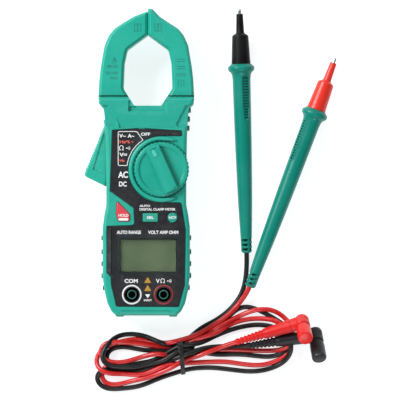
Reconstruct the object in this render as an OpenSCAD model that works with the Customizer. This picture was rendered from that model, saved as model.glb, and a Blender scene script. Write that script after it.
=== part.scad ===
// Hand-held clamp meter lying on its back, with its pair of test leads beside it.
// Units are millimetres. +Y points to the jaw tip, +Z out of the face, and z = 0 is the back.

/* [Case] */
// Height of the case from its back to its face
case_h = 29.4; // [26:0.2:34]
// Height where the rear shell meets the front shell
split_h = 15; // [12:0.5:18]
// Wall thickness of both shells
wall = 2.2; // [1.6:0.1:3]
// Bevel round the face and the back
case_bevel = 2; // [0.5:0.25:3]
// Sideways shift of the case from the line between the jacks
case_x = -0.9; // [-2:0.1:2]

/* [Face] */
// Thickness of the dark face plate
plate_t = 0.8; // [0.4:0.1:1.5]
// Width of the display window
display_w = 35; // [28:0.5:38]
// Height of the display window
display_l = 20.6; // [14:0.2:26]

/* [Dial] */
// Radius of the knob
knob_r = 16.6; // [14:0.2:18]
// Outer radius of the rim round the knob
rim_r = 19.8; // [18:0.2:21]
// Height of the knob's grip bar above its disc
grip_h = 4; // [2:0.25:6]
// Angle of the grip bar from the jaw direction when switched off
off_angle = 24; // [0:1:90]

/* [Jaws] */
// Thickness of the jaws
jaw_t = 20; // [14:0.5:22]
// Wall thickness of the jaw shells
jaw_wall = 1.8; // [1.2:0.1:2.5]
// Thickness of the trigger lever
trigger_t = 12; // [8:0.5:13]
// Radius of the pivot pin
pin_r = 2; // [1.5:0.1:2.5]

/* [Jacks] */
// Distance between the two jacks
jack_pitch = 19.05; // [19:0.05:19.1]
// Inner radius of the metal sockets
socket_r = 2.05; // [2:0.01:2.1]
// Length of the metal sockets
socket_l = 15; // [10:0.5:18]

/* [Test leads] */
// Diameter of the lead cord
cord_d = 3; // [2:0.1:4]
// Length of a probe from its needle tip to its cord exit
probe_l = 148.5; // [120:0.5:160]
// Radius of the finger guard
guard_r = 8; // [6:0.1:10]
// Height of the tied coil of cord
hank_h = 7; // [5:0.5:12]

/* [Hidden] */
gap = 0.15;
face_z = case_h;
split_gap = 0.1;
// Pairs of distance along Y and half width, from the shoulder to the foot
case_half = [
    [62, 28.8], [57.6, 28.4], [52, 26.8], [46, 25.2], [38, 24.4], [8, 24], [-3, 24],
    [-9, 26], [-17, 27.2], [-46, 27.2], [-54, 26], [-62, 23.9], [-67, 21.4], [-70.2, 17.6]
];
jaw_half = [
    [62, 28.8], [72, 28.3], [80, 27.4], [87, 26.5], [93, 25.3], [99, 22.5],
    [102, 20.2], [105.4, 15.4], [108, 11.4], [111, 7], [113, 1.6]
];
window_half = [[56.7, 8], [58.6, 9.4], [67.2, 14.8], [82, 14.2], [90.4, 12.4], [99.4, 0.1]];
jaw_z0 = 6;
jaw_z1 = jaw_z0 + jaw_t;
jaw_mid_z = (jaw_z0 + jaw_z1) / 2;
pivot = [-25, 57.6];
pivot_clear = 0.05;
trigger_z0 = jaw_mid_z - trigger_t / 2;
root_clear = 0.3;
dial = [8.3, 18.4];
well_r = 17.1;
well_z = 27.8;
knob_z = 28.1;
knob_top = 31.6;
shaft_r = 4;
board_z = 22.8;
board_t = 1.6;
board_top = board_z + board_t;
display = [0.3, -33.4];
hold_outline = [[-18.4, -0.4], [-10.6, -8.6], [-10.8, -12.8], [-17.8, -12.8], [-19, -8]];
select_pos = [1.6, -10.5];
ncv_pos = [14.9, -10.5];
jack_y = -56.8;
jack_r = 4.15;
jack_wall = 0.75;
cup_z0 = 9;
screw_spots = [[-5.5, 47.6], [17.5, 42.4], [-18.2, -60.6], [17, -60.6]];
battery_r = 5.2;
battery_l = 44.5;
battery_y = -25.5;
battery_z = 8;
cover_w = 30;
cover_l = 64;
cover_t = 2;
cover_y = -22.5;
lid_w = 24;
lid_l = 46.6;
tray_w = 25.6;
tray_l = battery_l + 3.5;
cover_screw_y = cover_y + cover_l / 2 - 3;
cord_r = cord_d / 2;
cord_sides = 8;
black_tip = [55.3, 116.2];
black_turn = 1.72;
black_tilt = 2.4;
red_tip = [113.6, 86.3];
red_turn = -20.5;
red_tilt = 0.8;
handle_l = 133;
guard_s = 109.5;
sleeve_s = 114.9;
tail_r = 3.3;

// ---- shared outlines ----

function reversed(list) = [for (i = [len(list) - 1:-1:0]) list[i]];

function both_sides(half, mid_x) = concat(
    [for (p = half) [mid_x - p[1], p[0]]],
    [for (p = reversed(half)) [mid_x + p[1], p[0]]]
);

module case_outline() {
    difference() {
        polygon(both_sides(case_half, case_x));
        window_outline();
    }
}

module window_outline() {
    polygon(both_sides(window_half, 0));
}

module jaw_ring() {
    difference() {
        polygon(both_sides(jaw_half, case_x));
        window_outline();
    }
}

module bevelled(height, bevel) {
    translate([0, 0, bevel]) {
        linear_extrude(height - 2 * bevel) children();
    }
    translate([0, 0, bevel / 2]) {
        linear_extrude(height - bevel) offset(delta = -bevel / 2) children();
    }
    linear_extrude(height) offset(delta = -bevel) children();
}

// ---- swept cord, one ring of points at each stop ----

function unit(v) = v / norm(v);

function spline_point(a, b, c, d, t) = 0.5 * (
    2 * b + (c - a) * t + (2 * a - 5 * b + 4 * c - d) * t * t
    + (3 * b - a - 3 * c + d) * t * t * t
);

function smooth_route(stops, steps) = concat(
    [for (i = [0:len(stops) - 2]) for (k = [0:steps - 1])
        spline_point(
            stops[max(i - 1, 0)], stops[i], stops[i + 1],
            stops[min(i + 2, len(stops) - 1)], k / steps
        )
    ],
    [stops[len(stops) - 1]]
);

function heading(route, i) = unit(
    route[min(i + 1, len(route) - 1)] - route[max(i - 1, 0)]
);

function ring(route, i, r, sides) =
    let (ahead = heading(route, i))
    let (side = unit(cross(ahead, [0, 0, 1])))
    let (up = cross(side, ahead))
    [for (k = [0:sides - 1])
        let (angle = 360 * (k + 0.5) / sides)
        route[i] + r * (cos(angle) * side + sin(angle) * up)
    ];

function ring_faces(count, sides) = concat(
    [[for (k = [0:sides - 1]) k]],
    [for (i = [0:count - 2]) for (k = [0:sides - 1])
        [i * sides + k, (i + 1) * sides + k,
         (i + 1) * sides + (k + 1) % sides, i * sides + (k + 1) % sides]
    ],
    [[for (k = [sides - 1:-1:0]) (count - 1) * sides + k]]
);

module swept(route, r, sides) {
    polyhedron(
        points = [for (i = [0:len(route) - 1]) each ring(route, i, r, sides)],
        faces = ring_faces(len(route), sides),
        convexity = 6
    );
}

// ---- case ----

module rear_shape() {
    bottom = case_bevel;
    translate([0, 0, bottom]) {
        linear_extrude(split_h - bottom - split_gap) case_outline();
    }
    translate([0, 0, bottom / 2]) linear_extrude(bottom) offset(delta = -0.8) case_outline();
    linear_extrude(bottom) offset(delta = -case_bevel) case_outline();
}

module front_shape() {
    top = face_z - case_bevel;
    translate([0, 0, split_h]) linear_extrude(top - split_h) case_outline();
    translate([0, 0, top - 1]) linear_extrude(2) offset(delta = -0.8) case_outline();
    translate([0, 0, top - 1]) {
        linear_extrude(case_bevel + 1) offset(delta = -case_bevel) case_outline();
    }
}

module jaw_mouth() {
    mouth_y = 46;
    mouth_x = 10.6;
    for (x = [-mouth_x - 30, mouth_x]) {
        translate([x, mouth_y, jaw_z0 - root_clear]) cube([30, 30, jaw_t + 2 * root_clear]);
    }
}

module trigger_slot() {
    slot_y = 7.4;
    translate([-44, slot_y, trigger_z0 - root_clear]) {
        cube([24, pivot[1] - slot_y, trigger_t + 2 * root_clear]);
    }
}

module screw_post(spot, z0, z1) {
    translate([spot[0], spot[1], z0]) cylinder(h = z1 - z0, r = 2.8, $fn = 32);
}

module rear_case() color([0.16, 0.66, 0.59]) {
    difference() {
        union() {
            difference() {
                rear_shape();
                translate([0, 0, wall]) {
                    linear_extrude(split_h) offset(delta = -wall) case_outline();
                }
            }
            for (spot = screw_spots) screw_post(spot, 0.5, split_h - split_gap);
            translate([pivot[0], pivot[1], 0.5]) {
                cylinder(h = 2.8, r = 3.4, $fn = 32);
            }
            translate([-20.3, 46.6, 1]) cylinder(h = 4.4, r = 1.2, $fn = 32);
            battery_walls();
            translate([0, cover_screw_y, 1]) cylinder(h = 7.4, r = 2.8, $fn = 32);
        }
        jaw_mouth();
        trigger_slot();
        translate([pivot[0], pivot[1], 1.2]) cylinder(h = 10, r = pin_r + 0.02, $fn = 48);
        translate([pivot[0], pivot[1], 3.3]) cylinder(h = 5, r = 3.35, $fn = 48);
        for (spot = screw_spots) {
            translate([spot[0], spot[1], -1]) cylinder(h = 5.2, r = 2.4, $fn = 32);
            translate([spot[0], spot[1], -1]) cylinder(h = 20, r = 1.4, $fn = 32);
        }
        battery_opening(gap);
        translate([0, cover_screw_y, -1]) cylinder(h = 12, r = 1.32, $fn = 32);
    }
}

module battery_opening(clear) {
    translate([-cover_w / 2 - clear, cover_y - cover_l / 2 - clear, -1]) {
        cube([cover_w + 2 * clear, cover_l + 2 * clear, cover_t / 2 + 1 + clear]);
    }
    translate([-lid_w / 2 - clear, battery_y - lid_l / 2 - clear, -1]) {
        cube([lid_w + 2 * clear, lid_l + 2 * clear, wall + 2]);
    }
}

module battery_walls() {
    rib = 1.2;
    rib_h = 11.5;
    translate([-tray_w / 2 - rib, battery_y - tray_l / 2 - rib, 1.5]) {
        difference() {
            cube([tray_w + 2 * rib, tray_l + 2 * rib, rib_h]);
            translate([rib, rib, -1]) cube([tray_w, tray_l, rib_h + 2]);
        }
    }
}

module front_case() color([0.16, 0.66, 0.59]) {
    difference() {
        union() {
            difference() {
                front_shape();
                translate([0, 0, split_h - 1]) {
                    linear_extrude(face_z - wall - split_h + 1) {
                        offset(delta = -wall) case_outline();
                    }
                }
            }
            dial_surround();
            for (spot = screw_spots) screw_post(spot, split_h, face_z - 1.5);
            translate([pivot[0], pivot[1], jaw_z1 + root_clear]) {
                cylinder(h = 2, r = 3.4, $fn = 32);
            }
        }
        jaw_mouth();
        trigger_slot();
        translate([dial[0], dial[1], well_z]) cylinder(h = 10, r = well_r, $fn = 96);
        translate([dial[0], dial[1], 20]) cylinder(h = 12, r = shaft_r + 0.06, $fn = 64);
        translate([0, 0, face_z - plate_t]) linear_extrude(5) plate_outline(0.2);
        display_opening(0);
        linear_opening() offset(delta = gap) polygon(hold_outline);
        linear_opening() offset(delta = gap) select_outline();
        translate([ncv_pos[0], ncv_pos[1], 20]) cylinder(h = 20, r = 2.95 + gap, $fn = 48);
        for (side = [-1, 1]) {
            translate([side * jack_pitch / 2, jack_y, 10]) {
                cylinder(h = 30, r = jack_r + jack_wall + 0.05, $fn = 64);
            }
            translate([side * jack_pitch / 2, jack_y, face_z - 1]) {
                cylinder(h = 5, r = 6, $fn = 64);
            }
        }
        translate([pivot[0], pivot[1], 20]) cylinder(h = 7.9, r = pin_r + 0.02, $fn = 48);
        for (spot = screw_spots) {
            translate([spot[0], spot[1], 10]) cylinder(h = 13, r = 1.02, $fn = 32);
        }
    }
}

module dial_surround() {
    intersection() {
        translate([dial[0], dial[1], 0]) {
            difference() {
                union() {
                    translate([0, 0, 26]) cylinder(h = 3, r = rim_r, $fn = 96);
                    translate([0, 0, 28]) cylinder(h = 2.8, r = rim_r, $fn = 96);
                }
                translate([0, 0, well_z]) cylinder(h = 10, r = well_r, $fn = 96);
            }
        }
        translate([0, 0, 20]) linear_extrude(20) offset(delta = -0.4) case_outline();
    }
}

module linear_opening() {
    translate([0, 0, 20]) linear_extrude(20) children();
}

module display_opening(grow) {
    translate([display[0] - display_w / 2 - grow, display[1] - display_l / 2 - grow, 20]) {
        cube([display_w + 2 * grow, display_l + 2 * grow, 20]);
    }
}

module select_outline() {
    translate([select_pos[0] - 4.6, select_pos[1] - 2.6]) square([9.2, 5.2]);
}

module plate_outline(grow) {
    notch = [[-26, 8], [-8.3, -4.8], [-7.8, -14.2], [-9.4, -15.4], [-26, -16]];
    offset(delta = grow) difference() {
        polygon([
            [-21.2, 41.8], [-4, 42.9], [20.4, 41.4], [20.4, 38.6], [8, 38.6], [8, -1.6],
            [20, -1.8], [22.6, -18], [22.1, -51], [18.5, -63.9], [-18.7, -63.7],
            [-21.7, -51], [-22, -46.2], [-24.4, -43.4], [-24.4, -17.4], [-22.4, 6.9]
        ]);
        translate([dial[0], dial[1]]) circle(r = rim_r + 0.3, $fn = 96);
        polygon(notch);
    }
}

module face_plate() color([0.22, 0.24, 0.26]) {
    difference() {
        translate([0, 0, face_z - plate_t + 0.05]) linear_extrude(plate_t) plate_outline(0);
        display_opening(0.4);
        linear_opening() offset(delta = 0.5) select_outline();
        translate([ncv_pos[0], ncv_pos[1], 20]) cylinder(h = 20, r = 3.3, $fn = 48);
        for (side = [-1, 1]) {
            translate([side * jack_pitch / 2, jack_y, 20]) cylinder(h = 20, r = 6.1, $fn = 64);
        }
    }
}

module display_lens() color([0.47, 0.55, 0.44]) {
    translate([display[0] - display_w / 2 + gap, display[1] - display_l / 2 + gap, 27.8]) {
        cube([display_w - 2 * gap, display_l - 2 * gap, 0.8]);
    }
}

module lcd_panel() color([0.41, 0.49, 0.38]) {
    translate([display[0] - 19.5, display[1] - 12, 26]) cube([39, 24, 1.1]);
}

module lcd_backlight() color([0.92, 0.93, 0.92]) {
    translate([display[0] - 19, display[1] - 11.5, board_top + gap]) cube([38, 23, 1.3]);
}

// ---- electronics ----

module circuit_board() color([0.09, 0.36, 0.23]) {
    difference() {
        translate([0, 0, board_z]) {
            linear_extrude(board_t) polygon([
                [-17, 40], [13, 40], [19, 36], [20.5, 8], [20.5, -4], [22.5, -18], [22.5, -46],
                [14.5, -50.5], [-15.5, -50.5], [-23.5, -46], [-23.5, -18], [-20.5, -6], [-20, 10]
            ]);
        }
        translate([dial[0], dial[1], 20]) cylinder(h = 10, r = 1.6, $fn = 32);
    }
}

module meter_chip() color([0.09, 0.09, 0.10]) {
    translate([-6, -30, board_z - 1.3]) cube([12, 12, 1.25]);
}

module button_pad() color([0.78, 0.78, 0.76]) {
    translate([0, 0, board_top + 0.05]) {
        linear_extrude(0.5) {
            translate([-18.6, -15.4]) square([37.6, 6.4]);
        }
    }
}

module hold_button() color([0.84, 0.24, 0.28]) {
    translate([0, 0, 26.4]) linear_extrude(4) polygon(hold_outline);
    translate([0, 0, 26.2]) linear_extrude(0.8) offset(delta = 0.7) polygon(hold_outline);
}

module select_button() color([0.16, 0.66, 0.59]) {
    translate([0, 0, 26.4]) linear_extrude(3.9) select_outline();
    translate([0, 0, 26.2]) linear_extrude(0.8) offset(delta = 0.7) select_outline();
}

module ncv_button() color([0.16, 0.66, 0.59]) {
    translate([ncv_pos[0], ncv_pos[1], 26.2]) cylinder(h = 4.1, r = 2.95, $fn = 64);
    translate([ncv_pos[0], ncv_pos[1], 26.2]) cylinder(h = 0.8, r = 3.7, $fn = 64);
}

// ---- dial ----

module function_dial() color([0.16, 0.66, 0.59]) {
    disc_h = knob_top - knob_z;
    notches = 40;
    translate([dial[0], dial[1], knob_z]) {
        difference() {
            union() {
                cylinder(h = disc_h - 1, r = knob_r, $fn = 96);
                cylinder(h = disc_h, r = knob_r - 0.8, $fn = 96);
            }
            for (i = [0:notches - 1]) {
                rotate(i * 360 / notches) {
                    translate([knob_r + 0.35, 0, -1]) cylinder(h = disc_h + 2, r = 0.7, $fn = 8);
                }
            }
        }
        rotate(off_angle) intersection() {
            translate([-4.6, -knob_r, disc_h - 0.5]) cube([9.2, 2 * knob_r, grip_h + 0.5]);
            cylinder(h = 20, r = knob_r - 1.6, $fn = 96);
        }
        translate([0, 0, 26.5 - knob_z]) cylinder(h = 5, r = shaft_r, $fn = 64);
    }
}

module dial_rotor() color([0.88, 0.88, 0.86]) {
    translate([dial[0], dial[1], 24.95]) cylinder(h = 0.85, r = 11, $fn = 64);
    translate([dial[0], dial[1], 25]) cylinder(h = 1.5, r = shaft_r - 0.2, $fn = 64);
}

module dial_contacts() color([0.84, 0.70, 0.36]) {
    for (turn = [40, 160, 280]) {
        translate([dial[0], dial[1], 24.5]) rotate(turn) {
            translate([6, -1, 0]) cube([4, 2, 0.45]);
        }
    }
}

// ---- jacks ----

module jack_cup() {
    difference() {
        cylinder(h = face_z - cup_z0, r = jack_r + jack_wall, $fn = 64);
        translate([0, 0, 1]) cylinder(h = 30, r = jack_r, $fn = 64);
    }
}

module jack_socket() {
    difference() {
        cylinder(h = socket_l, r = 2.9, $fn = 64);
        translate([0, 0, -1]) cylinder(h = socket_l + 2, r = socket_r, $fn = 64);
    }
}

module jack_ring() {
    difference() {
        cylinder(h = 1.2, r = 5.9, $fn = 64);
        translate([0, 0, -1]) cylinder(h = 3, r = jack_r + jack_wall + 0.05, $fn = 64);
    }
}

module com_jack_cup() color([0.07, 0.07, 0.07]) {
    translate([-jack_pitch / 2, jack_y, cup_z0]) jack_cup();
}

module com_socket() color([0.80, 0.80, 0.78]) {
    translate([-jack_pitch / 2, jack_y, cup_z0 + 1]) jack_socket();
}

module com_ring() color([0.92, 0.92, 0.92]) {
    translate([-jack_pitch / 2, jack_y, face_z - 1]) jack_ring();
}

module volt_jack_cup() color([0.07, 0.07, 0.07]) {
    translate([jack_pitch / 2, jack_y, cup_z0]) jack_cup();
}

module volt_socket() color([0.80, 0.80, 0.78]) {
    translate([jack_pitch / 2, jack_y, cup_z0 + 1]) jack_socket();
}

module volt_ring() color([0.59, 0.11, 0.13]) {
    translate([jack_pitch / 2, jack_y, face_z - 1]) jack_ring();
}

// ---- jaws ----

module left_of_seam() {
    translate([-60, 50]) square([59.9, 80]);
}

module right_of_seam() {
    translate([0.1, 50]) square([60, 80]);
}

module moving_outline() {
    intersection() {
        difference() {
            jaw_ring();
            translate([-60, 40]) square([120, 22.05]);
        }
        left_of_seam();
    }
    polygon([
        [case_x - 28.8, 62.1], [-11.6, 62.1], [-11.8, 57], [-14, 51], [-21.6, 48.4],
        [-27, 48.4], [-28.7, 54]
    ]);
}

module fixed_outline() {
    intersection() {
        difference() {
            union() {
                jaw_ring();
                polygon([[0.1, 105], [0.2, 115.2], [2, 115.2], [5.6, 113.6], [12, 105]]);
            }
            translate([-60, 40]) square([120, 22.05]);
            window_outline();
        }
        right_of_seam();
    }
    polygon([[11.3, 62.1], [case_x + 28.7, 62.1], [26.2, 55], [24.4, 47], [10.8, 47]]);
}

module jaw_shape(z0, z1) {
    intersection() {
        translate([0, 0, jaw_z0]) bevelled(jaw_t, 1.6) children();
        translate([-100, 0, z0]) cube([200, 200, z1 - z0]);
    }
}

module jaw_cavity() {
    translate([0, 0, jaw_z0 + jaw_wall]) {
        linear_extrude(jaw_t - 2 * jaw_wall) offset(delta = -jaw_wall) difference() {
            children();
            translate([-60, 40]) square([120, 24.2]);
        }
    }
}

module pivot_bore() {
    translate([pivot[0], pivot[1], 0]) {
        cylinder(h = 40, r = pin_r + pivot_clear, $fn = 64);
    }
}

module spring_pocket() {
    translate([pivot[0], pivot[1], 0]) cylinder(h = 11, r = 4.2, $fn = 48);
    translate([pivot[0] - 8, pivot[1] + 2.2, 0]) cube([8, 2, 11]);
}

module moving_jaw_front() color([0.16, 0.66, 0.59]) {
    difference() {
        jaw_shape(jaw_mid_z, jaw_z1) moving_outline();
        jaw_cavity() moving_outline();
        pivot_bore();
    }
}

module moving_jaw_rear() color([0.16, 0.66, 0.59]) {
    difference() {
        jaw_shape(jaw_z0, jaw_mid_z) moving_outline();
        jaw_cavity() moving_outline();
        pivot_bore();
        spring_pocket();
    }
}

module fixed_jaw_front() color([0.16, 0.66, 0.59]) {
    difference() {
        jaw_shape(jaw_mid_z, jaw_z1) fixed_outline();
        jaw_cavity() fixed_outline();
    }
}

module fixed_jaw_rear() color([0.16, 0.66, 0.59]) {
    difference() {
        jaw_shape(jaw_z0, jaw_mid_z) fixed_outline();
        jaw_cavity() fixed_outline();
    }
}

module core_outline() {
    difference() {
        offset(delta = -5) polygon(both_sides(jaw_half, case_x));
        offset(delta = 3.8) window_outline();
        translate([-60, 40]) square([120, 28]);
    }
}

module moving_core() color([0.47, 0.48, 0.49]) {
    translate([0, 0, jaw_mid_z - 4]) linear_extrude(8) intersection() {
        core_outline();
        translate([-62.3, 50]) square([60, 80]);
    }
}

module fixed_core() color([0.47, 0.48, 0.49]) {
    translate([0, 0, jaw_mid_z - 4]) linear_extrude(8) intersection() {
        core_outline();
        translate([2.3, 50]) square([60, 80]);
    }
}

module coil_winding(x, core_w) {
    layer = 1.1;
    translate([x, 74, jaw_mid_z]) difference() {
        translate([-core_w / 2 - layer, -5, -6.2]) cube([core_w + 2 * layer, 10, 12.4]);
        translate([-core_w / 2, -6, -4.1]) cube([core_w, 12, 8.2]);
    }
}

module moving_coil() color([0.72, 0.44, 0.22]) {
    coil_winding(-21.4, 6.9);
}

module fixed_coil() color([0.72, 0.44, 0.22]) {
    coil_winding(20.5, 4.9);
}

module trigger() color([0.16, 0.66, 0.59]) {
    translate([0, 0, trigger_z0]) bevelled(trigger_t, 1) polygon([
        [-21.8, 48.2], [-23.9, 43.6], [-24.4, 12], [-25.3, 8.1], [-37.4, 14], [-38.2, 15.4],
        [-37.2, 19], [-29.6, 37], [-26.2, 45], [-26.8, 48.2]
    ]);
}

module pivot_pin() color([0.78, 0.78, 0.78]) {
    translate([pivot[0], pivot[1], 1.3]) cylinder(h = 26.4, r = pin_r, $fn = 48);
}

module jaw_spring() color([0.67, 0.67, 0.69]) {
    turns = 5;
    coil_r = 2.75;
    steps = 14;
    wire_r = 0.35;
    z0 = 3.9;
    z1 = 10;
    coil = [for (i = [0:turns * steps])
        [pivot[0] + coil_r * cos(360 * i / steps), pivot[1] + coil_r * sin(360 * i / steps),
         z0 + (z1 - z0) * i / (turns * steps)]
    ];
    foot = [[pivot[0] + coil_r, 44.6, z0], [pivot[0] + coil_r, 50, z0], [pivot[0] + coil_r, 56, z0]];
    swept(concat(foot, coil), wire_r, 6);
}

// ---- power ----

module battery_cover() color([0.16, 0.66, 0.59]) {
    difference() {
        union() {
            translate([-cover_w / 2, cover_y - cover_l / 2, 0]) cube([cover_w, cover_l, cover_t / 2]);
            translate([-lid_w / 2, battery_y - lid_l / 2, 0]) cube([lid_w, lid_l, cover_t]);
        }
        translate([0, cover_screw_y, -1]) cylinder(h = 4, r = 1.5, $fn = 32);
        translate([0, cover_screw_y, -1]) cylinder(h = 1.6, r = 2.6, $fn = 32);
    }
}

module batteries() color([0.24, 0.25, 0.27]) {
    for (side = [-1, 1]) {
        translate([side * 5.9, battery_y, battery_z]) rotate([-90 * side, 0, 0]) {
            translate([0, 0, -battery_l / 2]) {
                cylinder(h = battery_l - 1, r = battery_r, $fn = 48);
                cylinder(h = battery_l, r = 1.9, $fn = 32);
            }
        }
    }
}

module battery_contacts() color([0.80, 0.80, 0.78]) {
    plate_y = battery_l / 2 + 1.5;
    for (end = [-1, 1]) {
        translate([-9.5, battery_y + end * plate_y - 0.2, 3.6]) cube([19, 0.4, 8.6]);
    }
    for (side = [-1, 1]) {
        translate([side * 5.9, battery_y - side * (battery_l / 2 + 0.1), battery_z]) {
            rotate([90 * side, 0, 0]) cylinder(h = 1.2, r1 = 2, r2 = 3.4, $fn = 32);
        }
    }
}

module cover_screw() color([0.59, 0.60, 0.61]) {
    translate([0, cover_screw_y, 0.1]) {
        cylinder(h = 0.5, r = 2.4, $fn = 32);
        cylinder(h = 7, r = 1.3, $fn = 32);
    }
}

module case_screws() color([0.59, 0.60, 0.61]) {
    for (spot = screw_spots) {
        translate([spot[0], spot[1], 2.2]) {
            cylinder(h = 2, r = 2.2, $fn = 32);
            cylinder(h = 20, r = 1, $fn = 32);
        }
    }
}

// ---- probes: drawn along +Z from the cord exit, then laid down ----

module lay_probe(tip, turn, tilt, tip_z) {
    translate([tip[0], tip[1], tip_z]) rotate([0, 0, turn]) rotate([tilt, 0, 0]) {
        rotate([-90, 0, 0]) translate([0, 0, -probe_l]) children();
    }
}

module probe_handle() {
    difference() {
        rotate_extrude($fn = 40) polygon([
            [0, 0], [2.5, 0], [tail_r, 1], [tail_r, 9], [3.9, 30], [4.5, 62], [5.1, guard_s - 6],
            [5.6, guard_s], [guard_r, guard_s + 1.6], [guard_r, guard_s + 3.4],
            [6.2, sleeve_s], [4.6, sleeve_s], [4.6, sleeve_s + 10], [0, sleeve_s + 10]
        ]);
        translate([0, 0, -1]) cylinder(h = 9, r = cord_r + 0.02, $fn = 32);
        for (i = [0:8]) {
            translate([-4, -7.1, guard_s - 8 - i * 2.8]) cube([8, 2.6, 1.2]);
        }
    }
}

module probe_nose() {
    difference() {
        rotate_extrude($fn = 40) polygon([
            [0, sleeve_s + 0.1], [5.8, sleeve_s + 0.1], [5.2, handle_l - 1.8], [4.4, handle_l],
            [2.3, handle_l], [2, handle_l + 12.2], [0, handle_l + 12.2]
        ]);
        translate([0, 0, sleeve_s - 1]) cylinder(h = 11.1, r = 4.65, $fn = 40);
        translate([0, 0, sleeve_s]) cylinder(h = 40, r = 1.02, $fn = 32);
    }
}

module probe_needle() {
    translate([0, 0, sleeve_s + 10.2]) cylinder(h = probe_l - sleeve_s - 11.4, r = 1, $fn = 32);
    translate([0, 0, probe_l - 1.2]) cylinder(h = 1.2, r1 = 1, r2 = 0.3, $fn = 32);
}

black_z = 9.6;
red_z = 8.6;

module lay_black() {
    lay_probe(black_tip, black_turn, black_tilt, black_z) children();
}

module lay_red() {
    lay_probe(red_tip, red_turn, red_tilt, red_z) children();
}

module black_probe_handle() color([0.04, 0.54, 0.49]) {
    lay_black() probe_handle();
}

module black_probe_nose() color([0.07, 0.07, 0.07]) {
    lay_black() probe_nose();
}

module black_probe_needle() color([0.82, 0.82, 0.82]) {
    lay_black() probe_needle();
}

module red_probe_handle() color([0.04, 0.54, 0.49]) {
    lay_red() probe_handle();
}

module red_probe_nose() color([0.93, 0.24, 0.18]) {
    lay_red() probe_nose();
}

module red_probe_needle() color([0.82, 0.82, 0.82]) {
    lay_red() probe_needle();
}

// ---- cords ----

black_probe_route = [
    [59.7, -30.2, 3.5], [59.8, -34.2, 3.3], [59.8, -38.5, 2.2], [59.4, -45.6, 1.6],
    [57.6, -54.8, 1.6], [53.9, -61.5, 1.6], [48.4, -68.5, 1.6], [41.1, -74.5, 1.8],
    [33, -79.7, 2.4]
];
red_probe_route = [
    [62.2, -50.9, 6.6], [60.8, -54.6, 6.4], [56.5, -60.6, 5.2], [50.8, -68, 4.8],
    [43.3, -74.1, 4.8], [36.9, -78.7, 4.8], [28.4, -82.6, 4.8], [20, -85.4, 4.8]
];
black_plug_route = [[60.9, -88.4, 6.2], [50, -88.8, 6], [38.7, -89.4, 5.6], [25, -92.5, 5]];
red_plug_route = [[54.2, -86, 7.4], [46, -88.8, 6.9], [36, -92.2, 6.4], [26, -96, 6]];

module black_probe_cord() color([0.08, 0.08, 0.08]) {
    swept(smooth_route(black_probe_route, 2), cord_r, cord_sides);
}

module red_probe_cord() color([0.84, 0.12, 0.12]) {
    swept(smooth_route(red_probe_route, 2), cord_r, cord_sides);
}

module black_plug_cord() color([0.08, 0.08, 0.08]) {
    swept(smooth_route(black_plug_route, 2), cord_r, cord_sides);
}

module red_plug_cord() color([0.84, 0.12, 0.12]) {
    swept(smooth_route(red_plug_route, 2), cord_r, cord_sides);
}

module lead_hank() color([0.71, 0.11, 0.11]) {
    round_r = 8.3;
    linear_extrude(hank_h) offset(r = round_r, $fn = 40) polygon([
        [-24.4, -97.5], [-20.5, -90.5], [-13, -89.5], [-4, -89.6], [20, -94], [42, -81.5],
        [56, -73.4], [72, -73.4], [80, -82], [81, -93], [72, -97], [50, -97.4], [20, -98.2],
        [0, -103.4], [-12, -108.2], [-22, -107]
    ]);
}

module hank_tie() color([0.08, 0.08, 0.08]) {
    band = 3;
    over = 1;
    translate([20.3, -95.3, 0]) rotate([0, 0, 12]) difference() {
        translate([-band / 2, -10.6, 0]) cube([band, 21.2, hank_h + over]);
        translate([-band, -9.6, over]) cube([2 * band, 19.2, hank_h - over]);
    }
}

// ---- right-angle plugs: drawn along +X from the cord, with the shroud rising along +Z ----

boot_l = 19;
elbow_x = 42;

module lay_red_plug() {
    translate([53.2, -86.3, 7.4]) rotate([0, 0, 16.8]) rotate([0, -4, 0]) rotate([30, 0, 0]) {
        children();
    }
}

module lay_black_plug() {
    translate([59.9, -88.6, 6.2]) rotate([0, 0, 8.7]) rotate([48, 0, 0]) {
        children();
    }
}

module plug_boot() {
    rotate([0, 90, 0]) difference() {
        rotate_extrude($fn = 32) polygon([
            [0, 0], [2, 0], [2.2, 3], [2.6, 3], [2.6, 5], [2.3, 5], [2.4, 8], [2.9, 8], [2.9, 10],
            [2.6, 10], [2.8, 13], [3.2, 13], [3.2, 15], [3, 15], [3, boot_l], [0, boot_l]
        ]);
        translate([0, 0, -1]) cylinder(h = 3, r = cord_r + 0.02, $fn = 32);
    }
}

module plug_body() {
    translate([boot_l + 0.05, 0, 0]) hull() {
        rotate([0, 90, 0]) cylinder(h = 0.5, r = 3, $fn = 32);
        translate([elbow_x - boot_l - 4.4, 0, 0]) rotate([0, 90, 0]) {
            cylinder(h = 4, r = 4.3, $fn = 32);
        }
    }
    translate([elbow_x, 0, -4]) cylinder(h = 9.5, r = 4.4, $fn = 40);
}

module plug_shroud() {
    translate([elbow_x, 0, 5.55]) difference() {
        cylinder(h = 12, r = 3.9, $fn = 40);
        translate([0, 0, 0.8]) cylinder(h = 12, r = 3.1, $fn = 40);
        translate([0, 0, -1]) cylinder(h = 5, r = 1.92, $fn = 40);
    }
}

module plug_pin() {
    translate([elbow_x, 0, 5.55]) cylinder(h = 11, r = 1.9, $fn = 40);
}

module plug_cap() {
    translate([elbow_x, 0, 8]) difference() {
        cylinder(h = 10.6, r = 4.5, $fn = 40);
        translate([0, 0, -1]) cylinder(h = 10.6, r = 3.95, $fn = 40);
    }
}

module black_plug_boot() color([0.09, 0.09, 0.10]) {
    lay_black_plug() plug_boot();
}

module black_plug_body() color([0.09, 0.09, 0.10]) {
    lay_black_plug() plug_body();
}

module black_plug_shroud() color([0.09, 0.09, 0.10]) {
    lay_black_plug() plug_shroud();
}

module black_plug_pin() color([0.82, 0.78, 0.63]) {
    lay_black_plug() plug_pin();
}

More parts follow.
